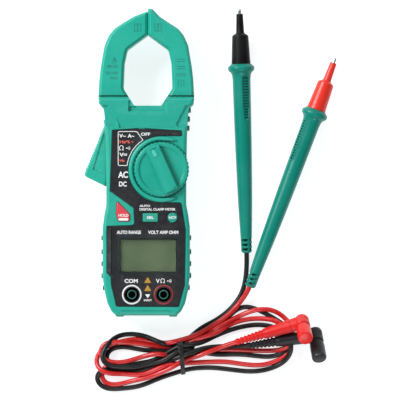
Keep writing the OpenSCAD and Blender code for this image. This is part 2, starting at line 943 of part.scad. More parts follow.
module black_plug_cap() color([0.09, 0.09, 0.10]) {
    lay_black_plug() plug_cap();
}

module red_plug_boot() color([0.84, 0.12, 0.12]) {
    lay_red_plug() plug_boot();
}

module red_plug_body() color([0.84, 0.12, 0.12]) {
    lay_red_plug() plug_body();
}

module red_plug_shroud() color([0.84, 0.12, 0.12]) {
    lay_red_plug() plug_shroud();
}

module red_plug_pin() color([0.82, 0.78, 0.63]) {
    lay_red_plug() plug_pin();
}

module red_plug_cap() color([0.89, 0.16, 0.13]) {
    lay_red_plug() plug_cap();
}

// ---- what is drawn ----

front_case();
rear_case();
face_plate();
display_lens();
lcd_panel();
lcd_backlight();
circuit_board();
meter_chip();
button_pad();
function_dial();
dial_rotor();
dial_contacts();
hold_button();
select_button();
ncv_button();
com_jack_cup();
com_socket();
com_ring();
volt_jack_cup();
volt_socket();
volt_ring();
moving_jaw_front();
moving_jaw_rear();
moving_core();
moving_coil();
fixed_jaw_front();
fixed_jaw_rear();
fixed_core();
fixed_coil();
trigger();
pivot_pin();
jaw_spring();
battery_cover();
batteries();
battery_contacts();
cover_screw();
case_screws();
black_probe_handle();
black_probe_nose();
black_probe_needle();
black_probe_cord();
red_probe_handle();
red_probe_nose();
red_probe_needle();
red_probe_cord();
lead_hank();
hank_tie();
black_plug_cord();
black_plug_boot();
black_plug_body();
black_plug_shroud();
black_plug_pin();
black_plug_cap();
red_plug_cord();
red_plug_boot();
red_plug_body();
red_plug_shroud();
red_plug_pin();
red_plug_cap();
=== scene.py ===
import bpy, bmesh, math
import numpy as np
from mathutils import Vector, Matrix


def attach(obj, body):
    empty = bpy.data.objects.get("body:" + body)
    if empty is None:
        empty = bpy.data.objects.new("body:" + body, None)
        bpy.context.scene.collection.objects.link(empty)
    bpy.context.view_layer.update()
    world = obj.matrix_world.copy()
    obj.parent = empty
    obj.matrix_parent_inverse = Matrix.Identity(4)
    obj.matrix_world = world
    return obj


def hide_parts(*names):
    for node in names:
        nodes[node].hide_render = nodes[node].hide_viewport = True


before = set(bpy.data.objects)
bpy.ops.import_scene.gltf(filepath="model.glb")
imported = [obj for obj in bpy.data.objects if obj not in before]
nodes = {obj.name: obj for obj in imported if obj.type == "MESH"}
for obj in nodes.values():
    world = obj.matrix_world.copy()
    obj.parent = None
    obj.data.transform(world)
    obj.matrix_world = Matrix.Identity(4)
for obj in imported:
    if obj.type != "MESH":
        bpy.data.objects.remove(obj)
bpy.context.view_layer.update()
scene = bpy.context.scene
mm = 0.001


# camera and light come first

view = {"height": 2.03, "centre": (0.0314, 0.0), "field": 0.24, "faceLevel": 0.03}


def makeCamera():
    data = bpy.data.cameras.new("camera")
    data.sensor_width = 36
    data.lens = 36 * (view["height"] - view["faceLevel"]) / view["field"]
    data.clip_end = 20
    camera = bpy.data.objects.new("camera", data)
    camera.location = (*view["centre"], view["height"])
    scene.collection.objects.link(camera)
    scene.camera = camera


lights = [
    # name, place, size, power
    ("windowLeft", (-1.3, 0.9, 1.3), 0.8, 40.0),
    ("windowBehind", (0.4, 1.6, 1.4), 1.0, 9.0),
    ("fillFront", (0.1, -1.6, 1.2), 1.0, 13.0),
]


def makeLights():
    for name, place, size, power in lights:
        data = bpy.data.lights.new(name, "AREA")
        data.shape = "SQUARE"
        data.size = size
        data.energy = power
        lamp = bpy.data.objects.new(name, data)
        lamp.location = place
        aim = Vector((0.02, 0, 0)) - Vector(place)
        lamp.rotation_euler = aim.to_track_quat("-Z", "Y").to_euler()
        scene.collection.objects.link(lamp)
    world = bpy.data.worlds.new("softWorld")
    world.use_nodes = True
    sky = world.node_tree.nodes["Background"]
    sky.inputs["Color"].default_value = (0.93, 0.97, 1.0, 1)
    sky.inputs["Strength"].default_value = 0.26
    scene.world = world
    scene.view_settings.view_transform = "Standard"
    scene.view_settings.look = "None"


makeCamera()
makeLights()
print("camera and lights are set")


# shader helpers

def tint(r, g, b):
    def linear(v):
        v /= 255
        return v / 12.92 if v < 0.04045 else ((v + 0.055) / 1.055) ** 2.4
    return (linear(r), linear(g), linear(b), 1.0)


class Wire:
    def __init__(self, finish, socket):
        self.finish, self.socket = finish, socket

    def op(self, operation, *values):
        return self.finish.add("ShaderNodeMath", {"operation": operation}, values)

    def __add__(self, other):
        return self.op("ADD", self, other)

    def __radd__(self, other):
        return self.op("ADD", other, self)

    def __sub__(self, other):
        return self.op("SUBTRACT", self, other)

    def __rsub__(self, other):
        return self.op("SUBTRACT", other, self)

    def __mul__(self, other):
        return self.op("MULTIPLY", self, other)

    def __rmul__(self, other):
        return self.op("MULTIPLY", other, self)

    def clamp(self):
        return self.finish.add("ShaderNodeClamp", {}, (self,))

    def wave(self):
        return self.op("SINE", self)


class Finish:
    def __init__(self, name):
        self.material = bpy.data.materials.new(name)
        self.material.use_nodes = True
        self.tree = self.material.node_tree
        self.shader = self.tree.nodes["Principled BSDF"]

    def add(self, kind, settings=None, values=(), out=0):
        node = self.tree.nodes.new(kind)
        for key, value in (settings or {}).items():
            if key == "stops":
                ramp = node.color_ramp
                while len(ramp.elements) < len(value):
                    ramp.elements.new(0.5)
                for stop, (place, colour) in zip(ramp.elements, value):
                    stop.position, stop.color = place, colour
            else:
                setattr(node, key, value)
        pairs = values.items() if isinstance(values, dict) else enumerate(values)
        for key, value in pairs:
            self.put(node.inputs[key], value)
        return Wire(self, node.outputs[out])

    def put(self, socket, value):
        if isinstance(value, Wire):
            self.tree.links.new(value.socket, socket)
        else:
            socket.default_value = value

    def set(self, **sockets):
        for key, value in sockets.items():
            self.put(self.shader.inputs[key.replace("_", " ")], value)

    def place(self, scale=1000.0):
        # object coordinates in millimetres
        spot = self.add("ShaderNodeTexCoord", out=3)
        return self.add("ShaderNodeVectorMath", {"operation": "SCALE"}, {0: spot, 3: scale})

    def noise(self, scale, detail=3.0, rough=0.5, where=None):
        return self.add("ShaderNodeTexNoise", {"noise_dimensions": "3D"},
                        {"Vector": where or self.place(), "Scale": scale, "Detail": detail,
                         "Roughness": rough})

    def ramp(self, value, *stops):
        return self.add("ShaderNodeValToRGB", {"stops": stops}, (value,))

    def grey(self, value, low, high, outLow=0.0, outHigh=1.0):
        return self.add("ShaderNodeMapRange", {"clamp": True},
                        {0: value, 1: low, 2: high, 3: outLow, 4: outHigh})

    def mix(self, amount, first, second, blend="MIX"):
        return self.add("ShaderNodeMix", {"data_type": "RGBA", "blend_type": blend},
                        {0: amount, 6: first, 7: second}, out=2)

    def axis(self, where, letter):
        return self.add("ShaderNodeSeparateXYZ", {}, (where,), out="XYZ".index(letter))

    def edges(self, low=0.54, high=0.62):
        # 1 along convex edges, 0 on flats
        return self.grey(self.add("ShaderNodeNewGeometry", out=7), low, high)

    def bump(self, height, distance=0.00004, strength=0.5, after=None):
        values = {"Height": height, "Distance": distance, "Strength": strength}
        if after:
            values["Normal"] = after
        return self.add("ShaderNodeBump", {}, values)


def darker(colour, factor):
    return tuple(c * factor for c in colour[:3]) + (1.0,)


def paler(colour, factor):
    return tuple(c + (1 - c) * factor for c in colour[:3]) + (1.0,)


# moulded and metal finishes

def mouldedPlastic(name, colour, roughness=0.38, grain=1.0, wear=0.2, dust=0.08, coat=0.0, gloss=0.5):
    f = Finish(name)
    where = f.place()
    cloud = f.noise(0.05, 3, where=where)
    fleck = f.noise(2.4, 4, 0.6, where=where)
    base = f.mix(f.grey(cloud, 0.35, 0.68), darker(colour, 0.93), paler(colour, 0.012))
    base = f.mix(f.grey(fleck, 0.58, 0.78) * dust, base, paler(colour, 0.12))
    scuff = f.noise(0.35, 6, 0.7, where=where)
    worn = (f.edges() * f.grey(scuff, 0.42, 0.62) * wear).clamp()
    base = f.mix(worn, base, paler(colour, 0.35))
    rough = f.grey(f.noise(0.6, 5, 0.65, where=where), 0.3, 0.7, roughness - 0.06, roughness + 0.09)
    fine = f.noise(5.5, 2, 0.5, where=where)
    normal = f.bump(fine, 0.00003 * grain, 0.35)
    normal = f.bump(cloud, 0.0002, 0.12, after=normal)
    f.set(Base_Color=base, Roughness=rough + worn * 0.15, Normal=normal)
    f.set(Specular_IOR_Level=gloss, Coat_Weight=coat, Coat_Roughness=0.18)
    return f.material


def softRubber(name, colour, roughness=0.5):
    f = Finish(name)
    where = f.place()
    cloud = f.noise(0.12, 4, where=where)
    base = f.mix(f.grey(cloud, 0.35, 0.7), darker(colour, 0.85), paler(colour, 0.03))
    lint = f.grey(f.noise(3.5, 5, 0.7, where=where), 0.62, 0.78) * 0.18
    base = f.mix(lint, base, paler(colour, 0.4))
    rough = f.grey(f.noise(0.9, 4, 0.6, where=where), 0.3, 0.7, roughness - 0.08, roughness + 0.08)
    f.set(Base_Color=base, Roughness=rough, Normal=f.bump(f.noise(7, 3, where=where), 0.00003, 0.3))
    f.set(Sheen_Weight=0.06, Sheen_Roughness=0.4, Specular_IOR_Level=0.5)
    return f.material


def cordJacket(name, colour, roughness=0.3, gloss=0.55):
    # extruded jacket: a faint ripple, a little dust and a wet sheen
    f = Finish(name)
    where = f.place()
    cloud = f.noise(0.09, 3, where=where)
    base = f.mix(f.grey(cloud, 0.3, 0.7), darker(colour, 0.8), paler(colour, 0.02))
    dust = f.grey(f.noise(2.0, 6, 0.75, where=where), 0.6, 0.8) * 0.14
    base = f.mix(dust, base, paler(colour, 0.45))
    rough = f.grey(f.noise(1.4, 5, 0.6, where=where), 0.3, 0.7, roughness - 0.05, roughness + 0.12)
    f.set(Base_Color=base, Roughness=rough, Normal=f.bump(f.noise(1.1, 3, where=where), 0.0001, 0.18))
    f.set(Coat_Weight=gloss * 0.4, Coat_Roughness=0.22, Specular_IOR_Level=gloss)
    return f.material


def brightMetal(name, colour, roughness=0.24, brush=0.0):
    f = Finish(name)
    where = f.place()
    streak = f.add("ShaderNodeVectorMath", {"operation": "MULTIPLY"},
                   {0: where, 1: (1, 1, 12 if brush else 1)})
    lines = f.noise(6, 4, 0.6, where=streak)
    base = f.mix(f.grey(f.noise(0.5, 4, where=where), 0.3, 0.7), darker(colour, 0.85), colour)
    rough = f.grey(lines, 0.3, 0.7, roughness - 0.06, roughness + 0.12)
    f.set(Base_Color=base, Metallic=1.0, Roughness=rough, Normal=f.bump(lines, 0.00002, 0.3))
    return f.material


def printedInk(name, colour):
    f = Finish(name)
    where = f.place()
    thin = f.grey(f.noise(3.0, 4, 0.6, where=where), 0.3, 0.75)
    f.set(Base_Color=f.mix(thin * 0.18, colour, darker(colour, 0.72)), Roughness=0.42)
    f.set(Specular_IOR_Level=0.4)
    return f.material


teal = tint(18, 168, 147)
finishes = {
    "caseTeal": mouldedPlastic("caseTeal", teal, 0.4, wear=0.06),
    "jawTeal": mouldedPlastic("jawTeal", tint(20, 172, 150), 0.36, wear=0.08),
    "knobTeal": mouldedPlastic("knobTeal", tint(16, 164, 143), 0.34, wear=0.06),
    # the darker teal of the grip ribs is painted shade
    "gripShadeTeal": softRubber("gripShadeTeal", tint(10, 108, 95), 0.55),
    "handleTeal": mouldedPlastic("handleTeal", tint(0, 134, 118), 0.3, grain=0.7, wear=0.05, gloss=0.28),
    "plateSlate": mouldedPlastic("plateSlate", tint(17, 18, 24), 0.5, grain=1.6, wear=0.1, dust=0.08,
                                 gloss=0.36),
    "facetLitSlate": mouldedPlastic("facetLitSlate", tint(20, 21, 28), 0.5, wear=0.08),
    "wellBlack": mouldedPlastic("wellBlack", tint(12, 12, 13), 0.5, wear=0.05, dust=0.06),
    "holdRed": softRubber("holdRed", tint(222, 58, 72), 0.42),
    "keyTeal": softRubber("keyTeal", tint(28, 160, 140), 0.42),
    "ringWhite": mouldedPlastic("ringWhite", tint(236, 238, 238), 0.35, wear=0.0, dust=0.0),
    "ringRed": mouldedPlastic("ringRed", tint(150, 34, 46), 0.35, wear=0.1),
    "inkWhite": printedInk("inkWhite", tint(238, 240, 240)),
    "inkRed": printedInk("inkRed", tint(232, 104, 94)),
    "inkYellow": printedInk("inkYellow", tint(184, 140, 56)),
    "jacketBlack": cordJacket("jacketBlack", tint(13, 13, 15), 0.3, 0.26),
    "jacketRed": cordJacket("jacketRed", tint(220, 10, 12), 0.3),
    "plugBlack": mouldedPlastic("plugBlack", tint(28, 29, 32), 0.42, wear=0.1, dust=0.08, gloss=0.3),
    "plugRed": mouldedPlastic("plugRed", tint(226, 12, 8), 0.38, wear=0.1, gloss=0.35),
    "capRed": mouldedPlastic("capRed", tint(240, 14, 8), 0.3, wear=0.08, coat=0.1, gloss=0.35),
    "capBlack": mouldedPlastic("capBlack", tint(32, 33, 37), 0.32, wear=0.1, coat=0.1, gloss=0.3),
    "noseRed": mouldedPlastic("noseRed", tint(236, 44, 26), 0.34, wear=0.12),
    "noseBlack": mouldedPlastic("noseBlack", tint(9, 9, 10), 0.42, wear=0.06, dust=0.04, gloss=0.14),
    "tieBlack": softRubber("tieBlack", tint(18, 18, 19), 0.45),
    "nickel": brightMetal("nickel", tint(202, 204, 204), 0.22),
    "steel": brightMetal("steel", tint(160, 162, 166), 0.32, brush=1.0),
    "brass": brightMetal("brass", tint(206, 170, 92), 0.26),
    "copper": brightMetal("copper", tint(190, 104, 62), 0.34),
}
print("finishes are mixed")


# mesh helpers, all in millimetres

def toObject(name, verts, faces, finish, smooth=38, place=None):
    mesh = bpy.data.meshes.new(name)
    verts = [Vector(v) for v in verts]
    if place:
        verts = [place @ v for v in verts]
    mesh.from_pydata([v * mm for v in verts], [], faces)
    mesh.validate()
    shape = bmesh.new()
    shape.from_mesh(mesh)
    bmesh.ops.recalc_face_normals(shape, faces=shape.faces)
    shape.to_mesh(mesh)
    shape.free()
    item = bpy.data.objects.new(name, mesh)
    scene.collection.objects.link(item)
    mesh.materials.append(finishes[finish])
    soften(item, smooth)
    return item


def soften(item, angle=38):
    item.data.shade_smooth()
    item.data.set_sharp_from_angle(angle=math.radians(angle))


def bake(item):
    # applies the modifiers
    seen = item.evaluated_get(bpy.context.evaluated_depsgraph_get())
    mesh = bpy.data.meshes.new_from_object(seen)
    item.modifiers.clear()
    item.data = mesh
    return item


def combine(item, cutters, operation="DIFFERENCE", smooth=38):
    for cutter in cutters:
        step = item.modifiers.new("combine", "BOOLEAN")
        step.operation = operation
        step.solver = "MANIFOLD"
        step.object = cutter
    bake(item)
    for cutter in cutters:
        bpy.data.objects.remove(cutter)
    if not len(item.data.polygons):
        print("  nothing is left of", item.name)
    soften(item, smooth)
    return item


def roundEdges(item, width=0.25, segments=2, angle=40, smooth=50):
    step = item.modifiers.new("edges", "BEVEL")
    step.width = width * mm
    step.segments = segments
    step.limit_method = "ANGLE"
    step.angle_limit = math.radians(angle)
    step.use_clamp_overlap = True
    bake(item)
    soften(item, smooth)
    return item


def roundCorners(points, radius=2.0):
    # a corner keeps its own radius where it has one
    return [(p[0], p[1], p[2] if len(p) > 2 else radius) for p in points]


def counterClockwise(points):
    area = sum(a[0] * b[1] - b[0] * a[1] for a, b in zip(points, points[1:] + points[:1]))
    return points if area > 0 else points[::-1]


def inset(loop, amount):
    done = []
    count = len(loop)
    for i in range(count):
        ahead = (loop[(i + 1) % count] - loop[i]).normalized()
        behind = (loop[i] - loop[i - 1]).normalized()
        left = Vector((-ahead.y - behind.y, ahead.x + behind.x))
        left = left.normalized() if left.length > 1e-6 else Vector((-ahead.y, ahead.x))
        grow = 1 / max(0.25, left.dot(Vector((-ahead.y, ahead.x))))
        done.append(loop[i] + left * amount * grow)
    return done


def softLoop(points, pull):
    # pulls the sides in, then rounds each corner by what is left of its radius
    flat = [Vector(p[:2]) for p in points]
    if len(points[0]) < 3:
        return inset(flat, pull) if pull else flat
    drawn = inset(flat, pull) if pull else flat
    done = []
    count = len(drawn)
    for i, p in enumerate(drawn):
        a, b = drawn[i - 1] - p, drawn[(i + 1) % count] - p
        first, last = flat[i - 1] - flat[i], flat[(i + 1) % count] - flat[i]
        angle = first.angle(last)
        r = points[i][2]
        if r <= 0 or angle > math.radians(177.5):
            done.append(p)
            continue
        convex = first.x * last.y - first.y * last.x < 0
        r = max(0.03, r - pull if convex else r + pull)
        reach = min(r / math.tan(angle / 2), a.length * 0.48, b.length * 0.48)
        start, end = p + a.normalized() * reach, p + b.normalized() * reach
        turns = max(3, int(6 * (math.pi - angle) / 1.0) + 2)
        for k in range(turns + 1):
            t = k / turns
            done.append(start * (1 - t) ** 2 + p * 2 * t * (1 - t) + end * t * t)
    return done


def layered(name, outline, levels, finish, smooth=38, place=None):
    # a closed solid: the outline at each level, pulled in by its inset
    points = counterClockwise(list(outline))
    verts, faces = [], []
    for z, pull in levels:
        loop = softLoop(points, pull)
        count = len(loop)
        verts += [(p.x, p.y, z) for p in loop]
    for k in range(len(levels) - 1):
        for i in range(count):
            j = (i + 1) % count
            faces.append((k * count + i, k * count + j, (k + 1) * count + j, (k + 1) * count + i))
    faces.append(tuple(range(count))[::-1])
    faces.append(tuple((len(levels) - 1) * count + i for i in range(count)))
    return toObject(name, verts, faces, finish, smooth, place)


def softTop(low, high, bevel, steps=5, foot=0.3):
    # levels with a rounded upper edge and a small lower one
    levels = [(low, foot), (low + foot, 0)] if foot else [(low, 0)]
    for k in range(steps + 1):
        a = math.pi / 2 * k / steps
        levels.append((high - bevel + bevel * math.sin(a), bevel * (1 - math.cos(a))))
    return levels


def circle(x, y, r, count=96):
    return [(x + r * math.cos(2 * math.pi * k / count), y + r * math.sin(2 * math.pi * k / count))
            for k in range(count)]


def turned(name, profile, finish, centre=(0, 0), count=96, smooth=38, place=None):
    # profile is (radius, height); the ends close on the axis or on each other
    verts, faces, rings = [], [], []
    for r, z in profile:
        if r < 1e-4:
            rings.append([len(verts)])
            verts.append((centre[0], centre[1], z))
        else:
            rings.append(list(range(len(verts), len(verts) + count)))
            verts += [(x, y, z) for x, y in circle(*centre, r, count)]
    pairs = list(zip(rings, rings[1:]))
    if len(rings[0]) > 1 and len(rings[-1]) > 1:
        pairs.append((rings[-1], rings[0]))
    for low, high in pairs:
        for k in range(count):
            j = (k + 1) % count
            if len(low) == 1 and len(high) == 1:
                break
            if len(low) == 1:
                faces.append((low[0], high[j], high[k]))
            elif len(high) == 1:
                faces.append((low[k], low[j], high[0]))
            else:
                faces.append((low[k], low[j], high[j], high[k]))
    return toObject(name, verts, faces, finish, smooth, place)


def block(name, low, high, finish="wellBlack", place=None):
    (a, b, c), (d, e, g) = low, high
    return layered(name, [(a, b), (d, b), (d, e), (a, e)], [(c, 0), (g, 0)], finish, place=place)


def ribbon(name, points, width, z, finish, closed=False):
    # a flat printed line along points
    pts = [Vector(p) for p in points]
    verts, faces = [], []
    count = len(pts)
    for i, p in enumerate(pts):
        before = pts[i - 1] if (i or closed) else p
        after = pts[(i + 1) % count] if (i < count - 1 or closed) else p
        a = (p - before).normalized() if (p - before).length else (after - p).normalized()
        b = (after - p).normalized() if (after - p).length else a
        side = Vector((-(a.y + b.y), a.x + b.x)).normalized()
        side /= max(0.5, side.dot(Vector((-b.y, b.x))))
        for s in (-0.5, 0.5):
            q = p + side * width * s
            verts += [(q.x, q.y, z)]
    spans = count if closed else count - 1
    for i in range(spans):
        j = (i + 1) % count
        faces.append((2 * i, 2 * j, 2 * j + 1, 2 * i + 1))
    return toObject(name, verts, faces, finish)


def lettering(name, words, z, size, finish, bold):
    data = bpy.data.curves.new(name, "FONT")
    data.body = words
    data.size = size * mm
    data.align_x = "CENTER"
    data.align_y = "CENTER"
    data.offset = bold * mm
    data.extrude = 0.012 * mm
    sign = bpy.data.objects.new(name, data)
    scene.collection.objects.link(sign)
    bpy.context.view_layer.update()
    mesh = bpy.data.meshes.new_from_object(sign.evaluated_get(bpy.context.evaluated_depsgraph_get()))
    bpy.data.objects.remove(sign)
    mesh.transform(Matrix.Translation((0, 0, z * mm)))
    item = bpy.data.objects.new(name, mesh)
    scene.collection.objects.link(item)
    mesh.materials.clear()
    mesh.materials.append(finishes[finish])
    return item


def joined(name, items):
    # one mesh out of several, materials kept
    mats, shape = [], bmesh.new()
    for item in items:
        start = len(mats)
        part = item.data.copy()
        for mat in part.materials:
            mats.append(mat)
        offset = len(shape.faces)
        shape.from_mesh(part)
        shape.faces.ensure_lookup_table()
        for face in shape.faces[offset:]:
            face.material_index += start
        bpy.data.objects.remove(item)
    mesh = bpy.data.meshes.new(name)
    shape.to_mesh(mesh)
    shape.free()
    single = []
    for mat in mats:
        if mat not in single:
            single.append(mat)
    order = [single.index(mat) for mat in mats]
    for face in mesh.polygons:
        face.material_index = order[face.material_index]
    for mat in single:
        mesh.materials.append(mat)
    item = bpy.data.objects.new(name, mesh)
    scene.collection.objects.link(item)
    return item


def ridesOn(item, body, *replaced, slot=None):
    if item.type == "MESH":
        # broad faces keep their own normals, so they stay flat
        even = item.modifiers.new("even", "WEIGHTED_NORMAL")
        even.keep_sharp = True
        even.weight = 60
    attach(item, body)
    if replaced:
        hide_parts(*replaced)
    return item


# the two cords, laid out and then settled on the table

cords = {
    "diameter": 3.0,
    "spacing": 2.4,
    "rounds": 300,
    "heldBeads": 3,
    "floor": 1.55,
    "neighbours": 5,               # beads this close along one cord never push each other
    "sink": 0.05,
    "pull": 0.05,                  # towards the drawn route, in plan
    "ease": (0.01, 0.01, 0.2),     # smoothing along x, y and z
    "stretch": 0.2,
    "climb": 0.8,
    "calm": 0.4,
    "unkink": (0.6, -0.58),        # smooths kinks away and keeps the folds as wide as they are
    "unkinkRounds": 14,
    "red": [
        (62.2, -50.9, 6.6), (60.8, -54.6, 6.5), (58.4, -58.4, 5.8), (56.1, -61.4, 5.0), (50.8, -68, 5),
        (43.3, -74.1, 5), (36.9, -78.7, 5), (28.4, -82.6, 5), (16.8, -85.6, 5.2), (7.1, -87.5, 3.4),
        (-5.1, -85.1, 3.4), (-18.5, -86.9, 3.4), (-27, -90.2, 1.6), (-31, -95, 3.4),
        (-31.6, -99.8, 5.2), (-28, -104, 5.2), (-21.5, -105.3, 5.2), (-11.1, -105.4, 5.2), (1, -104.2, 5.2),
        (10.1, -100.8, 5.2), (23.5, -99, 5.2), (34.4, -98.7, 5.2), (46.6, -98.4, 5.2), (58.8, -100, 3.4),
        (69.1, -100.4, 1.6), (77.6, -98, 1.6), (83.7, -93.1, 1.6), (86.2, -86.4, 1.6), (83.7, -78.5, 1.6),
        (78.8, -73.9, 3.4), (71.5, -72.3, 5.2), (62.4, -72.3, 5.2), (52.7, -74.4, 5.2), (43.3, -78.7, 5.2),
        (29.6, -84.4, 5.2), (18.9, -90.1, 1.6), (5.3, -88.8, 3.4), (-6.9, -86.4, 5.2), (-16, -86.2, 5.2),
        (-22.5, -86.6, 5.2), (-27, -88.6, 5.2), (-28.8, -93, 3.4), (-27, -97.4, 3.4), (-22.5, -99.3, 3.4),
        (-16, -98.9, 5.2), (-3.2, -95.2, 5.2), (9.5, -92.7, 3.4), (21.8, -95.8, 1.6), (35.1, -93.1, 1.6),
        (49.7, -91.6, 1.6), (66.7, -91.6, 1.6), (81.3, -91.3, 1.6), (87.3, -85.7, 3.4), (86.7, -77.8, 3.4),
        (82.4, -71.1, 5.2), (75.7, -67.1, 5.2), (69.1, -66.4, 5.2), (62.3, -67.6, 8), (56.1, -70.4, 8),
        (49.6, -73.4, 8), (40.5, -77.8, 5.2), (31.4, -82.7, 3.4), (20.4, -93.1, 1.6), (10.1, -99.8, 1.6),
        (1, -102.8, 1.6), (-11.2, -101.2, 1.6), (-16, -100.6, 1.6), (-22.6, -100.4, 1.6),
        (-27, -102.2, 1.6), (-28.8, -106.6, 1.6), (-27, -111, 1.6), (-22.6, -112.8, 1.6),
        (-16, -111.8, 3.4), (-6.9, -108.9, 5.2), (5.3, -104.5, 5.2), (22.5, -97, 5.2), (26.5, -96.1, 5.2),
        (35, -92.8, 5.4), (44.7, -89.2, 6.6), (50, -87.2, 7.1), (54.2, -86, 7.4)],
    "black": [
        (59.7, -30.2, 3.4), (59.8, -34.2, 3.2), (59.8, -38.5, 2.3), (59.4, -45.6, 1.6), (57.6, -54.8, 1.6),
        (53.9, -61.5, 1.6), (48.4, -68.5, 1.6), (41.1, -74.5, 1.6), (33.2, -79.7, 1.6), (25.9, -83.7, 1.6),
        (18, -88.2, 1.6), (8.9, -87.2, 5.2), (-1.4, -83.2, 5.2), (-13, -81.5, 3.4), (-21.4, -84.4, 5.2),
        (-27.2, -89.6, 5.2), (-28.4, -94.8, 5.2), (-25.7, -99, 5.2), (-17.2, -100.8, 5.2),
        (-4.4, -100.8, 5.2), (7.1, -97.2, 5.2), (19.6, -91.3, 5.2), (37.5, -93, 3.4), (55.7, -93.6, 3.4),
        (69.1, -95.2, 1.6), (80.1, -94.3, 1.6), (85.6, -89.5, 1.6), (85.6, -81.5, 1.6), (80.1, -74.8, 1.6),
        (72.8, -70, 1.6), (65.5, -66.3, 1.6), (59.4, -65, 1.6), (53.9, -66.3, 3.4), (47.2, -71.1, 3.4),
        (39.3, -76.6, 3.4), (30.8, -82.4, 3.4), (20.4, -92.9, 1.6), (7.1, -91.8, 3.4), (-3.9, -91.2, 3.4),
        (-13.2, -89.4, 3.4), (-19.8, -89.6, 3.4), (-24, -91.4, 1.6), (-25.8, -95.6, 1.6),
        (-24, -99.8, 1.6), (-19.8, -101.6, 1.6), (-13.2, -101.2, 3.4), (1, -98.2, 3.4), (10.1, -95.5, 3.4),
        (18.3, -88.7, 5.2), (29.6, -87.3, 5.2), (39.3, -83.3, 3.4), (50.9, -78.7, 3.4), (61.8, -76.3, 3.4),
        (70.3, -76.1, 1.6), (79.5, -78.8, 1.6), (85.5, -84.5, 3.4), (87, -89.9, 5.2), (84.9, -95.4, 5.2),
        (80, -99.6, 5.2), (72.7, -103, 5.2), (61.8, -104.3, 3.4), (49.7, -103.1, 1.6), (37.5, -101.9, 1.6),
        (30.2, -102.4, 3.4), (25.3, -102.7, 5.2), (8.9, -107.6, 3.4), (-2.7, -112.3, 1.6),
        (-10, -114.1, 1.6), (-17.6, -114.4, 1.6), (-25.2, -114.2, 1.6), (-29.6, -112.5, 1.6),
        (-31.4, -108.4, 1.6), (-29.6, -104, 1.6), (-25.2, -102.2, 1.6), (-18, -101.8, 1.6),
        (-8.2, -104.7, 1.6), (7.1, -100.9, 3.4), (21.1, -94.2, 5.2), (30.2, -91.1, 5.4), (38.7, -89.4, 5.6),
        (48.4, -88.9, 6.0), (56, -88.7, 6.2), (60.9, -88.4, 6.2)],
}


def evenly(points, spacing):
    # a smooth curve through the points, cut into equal steps
    p = np.array(points, float)
    p = np.vstack([2 * p[0] - p[1], p, 2 * p[-1] - p[-2]])
    fine = []
    for i in range(1, len(p) - 2):
        for t in np.linspace(0, 1, 12, endpoint=False):
            a, b, c, d = p[i - 1:i + 3]
            fine.append(0.5 * (2 * b + (c - a) * t + (2 * a - 5 * b + 4 * c - d) * t ** 2
                               + (3 * b - a - 3 * c + d) * t ** 3))
    fine.append(p[-2])
    fine = np.array(fine)
    run = np.concatenate([[0], np.cumsum(np.linalg.norm(np.diff(fine, axis=0), axis=1))])
    stops = np.linspace(0, run[-1], int(round(run[-1] / spacing)) + 1)
    return np.stack([np.interp(stops, run, fine[:, k]) for k in range(3)], axis=1)


def settle(first, second):
    # beads sink to the table, climb over each other at crossings and lie side by side along shared runs
    d, floor, spacing = cords["diameter"], cords["floor"], cords["spacing"]
    sizes = [len(first), len(second)]
    index = np.concatenate([np.arange(n) for n in sizes])
    owner = np.concatenate([np.full(n, k) for k, n in enumerate(sizes)])
    aim = np.vstack([first, second])
    p, layer = aim.copy(), aim[:, 2].copy()
    held = cords["heldBeads"]
    hold = np.concatenate([[i < held or i >= n - held for i in range(n)] for n in sizes])
    near = (owner[:, None] == owner[None]) & (abs(index[:, None] - index[None]) < cords["neighbours"])
    spans = [(0, sizes[0]), (sizes[0], sum(sizes))]
    along = np.zeros_like(p)
    for low, high in spans:
        along[low:high] = np.gradient(aim[low:high], axis=0)
    along /= np.linalg.norm(along, axis=1)[:, None]
    for _ in range(cords["rounds"]):
        p[:, 2] -= cords["sink"]
        p[:, :2] += cords["pull"] * (aim[:, :2] - p[:, :2])
        for low, high in spans:
            q = p[low:high]
            for _ in range(2):
                q[1:-1] += np.array(cords["ease"]) * ((q[:-2] + q[2:]) / 2 - q[1:-1])
            run = np.diff(q, axis=0)
            long = np.linalg.norm(run, axis=1)[:, None]
            fix = run / long * (long - spacing) * cords["stretch"]
            q[:-1] += fix
            q[1:] -= fix
        gap = p[:, None] - p[None]
        a, b = np.where(((gap ** 2).sum(2) < d * d) & ~near)
        g = gap[a, b]
        f = np.linalg.norm(g, axis=1) + 1e-6
        cross = np.clip((1 - abs((along[a] * along[b]).sum(1))) * 9, 0, 1)[:, None]
        upper = np.sign(layer[a] - layer[b] + 0.001 * (owner[a] - owner[b] + 0.01 * (index[a] - index[b])))
        need = np.sqrt(np.maximum(0, d * d - (g[:, :2] ** 2).sum(1)))
        lift = np.maximum(0, need - upper * g[:, 2]) * upper * cords["climb"]
        rise = np.stack([0 * lift, 0 * lift, lift], axis=1)
        push = cross * rise + (1 - cross) * g / f[:, None] * ((d - f) * 0.5)[:, None]
        move, count = np.zeros_like(p), np.zeros(len(p))
        np.add.at(move, a, push)
        np.add.at(count, a, 1)
        p += move / np.maximum(1, count * cords["calm"])[:, None]
        p[:, 2] = np.maximum(p[:, 2], floor)
        p[hold] = aim[hold]
    for low, high in spans:
        q = p[low:high]
        for rate in cords["unkink"] * cords["unkinkRounds"]:
            q[1:-1] += rate * ((q[:-2] + q[2:]) / 2 - q[1:-1])
        q[:, 2] = np.maximum(q[:, 2], floor)
    return [p[low:high] for low, high in spans]


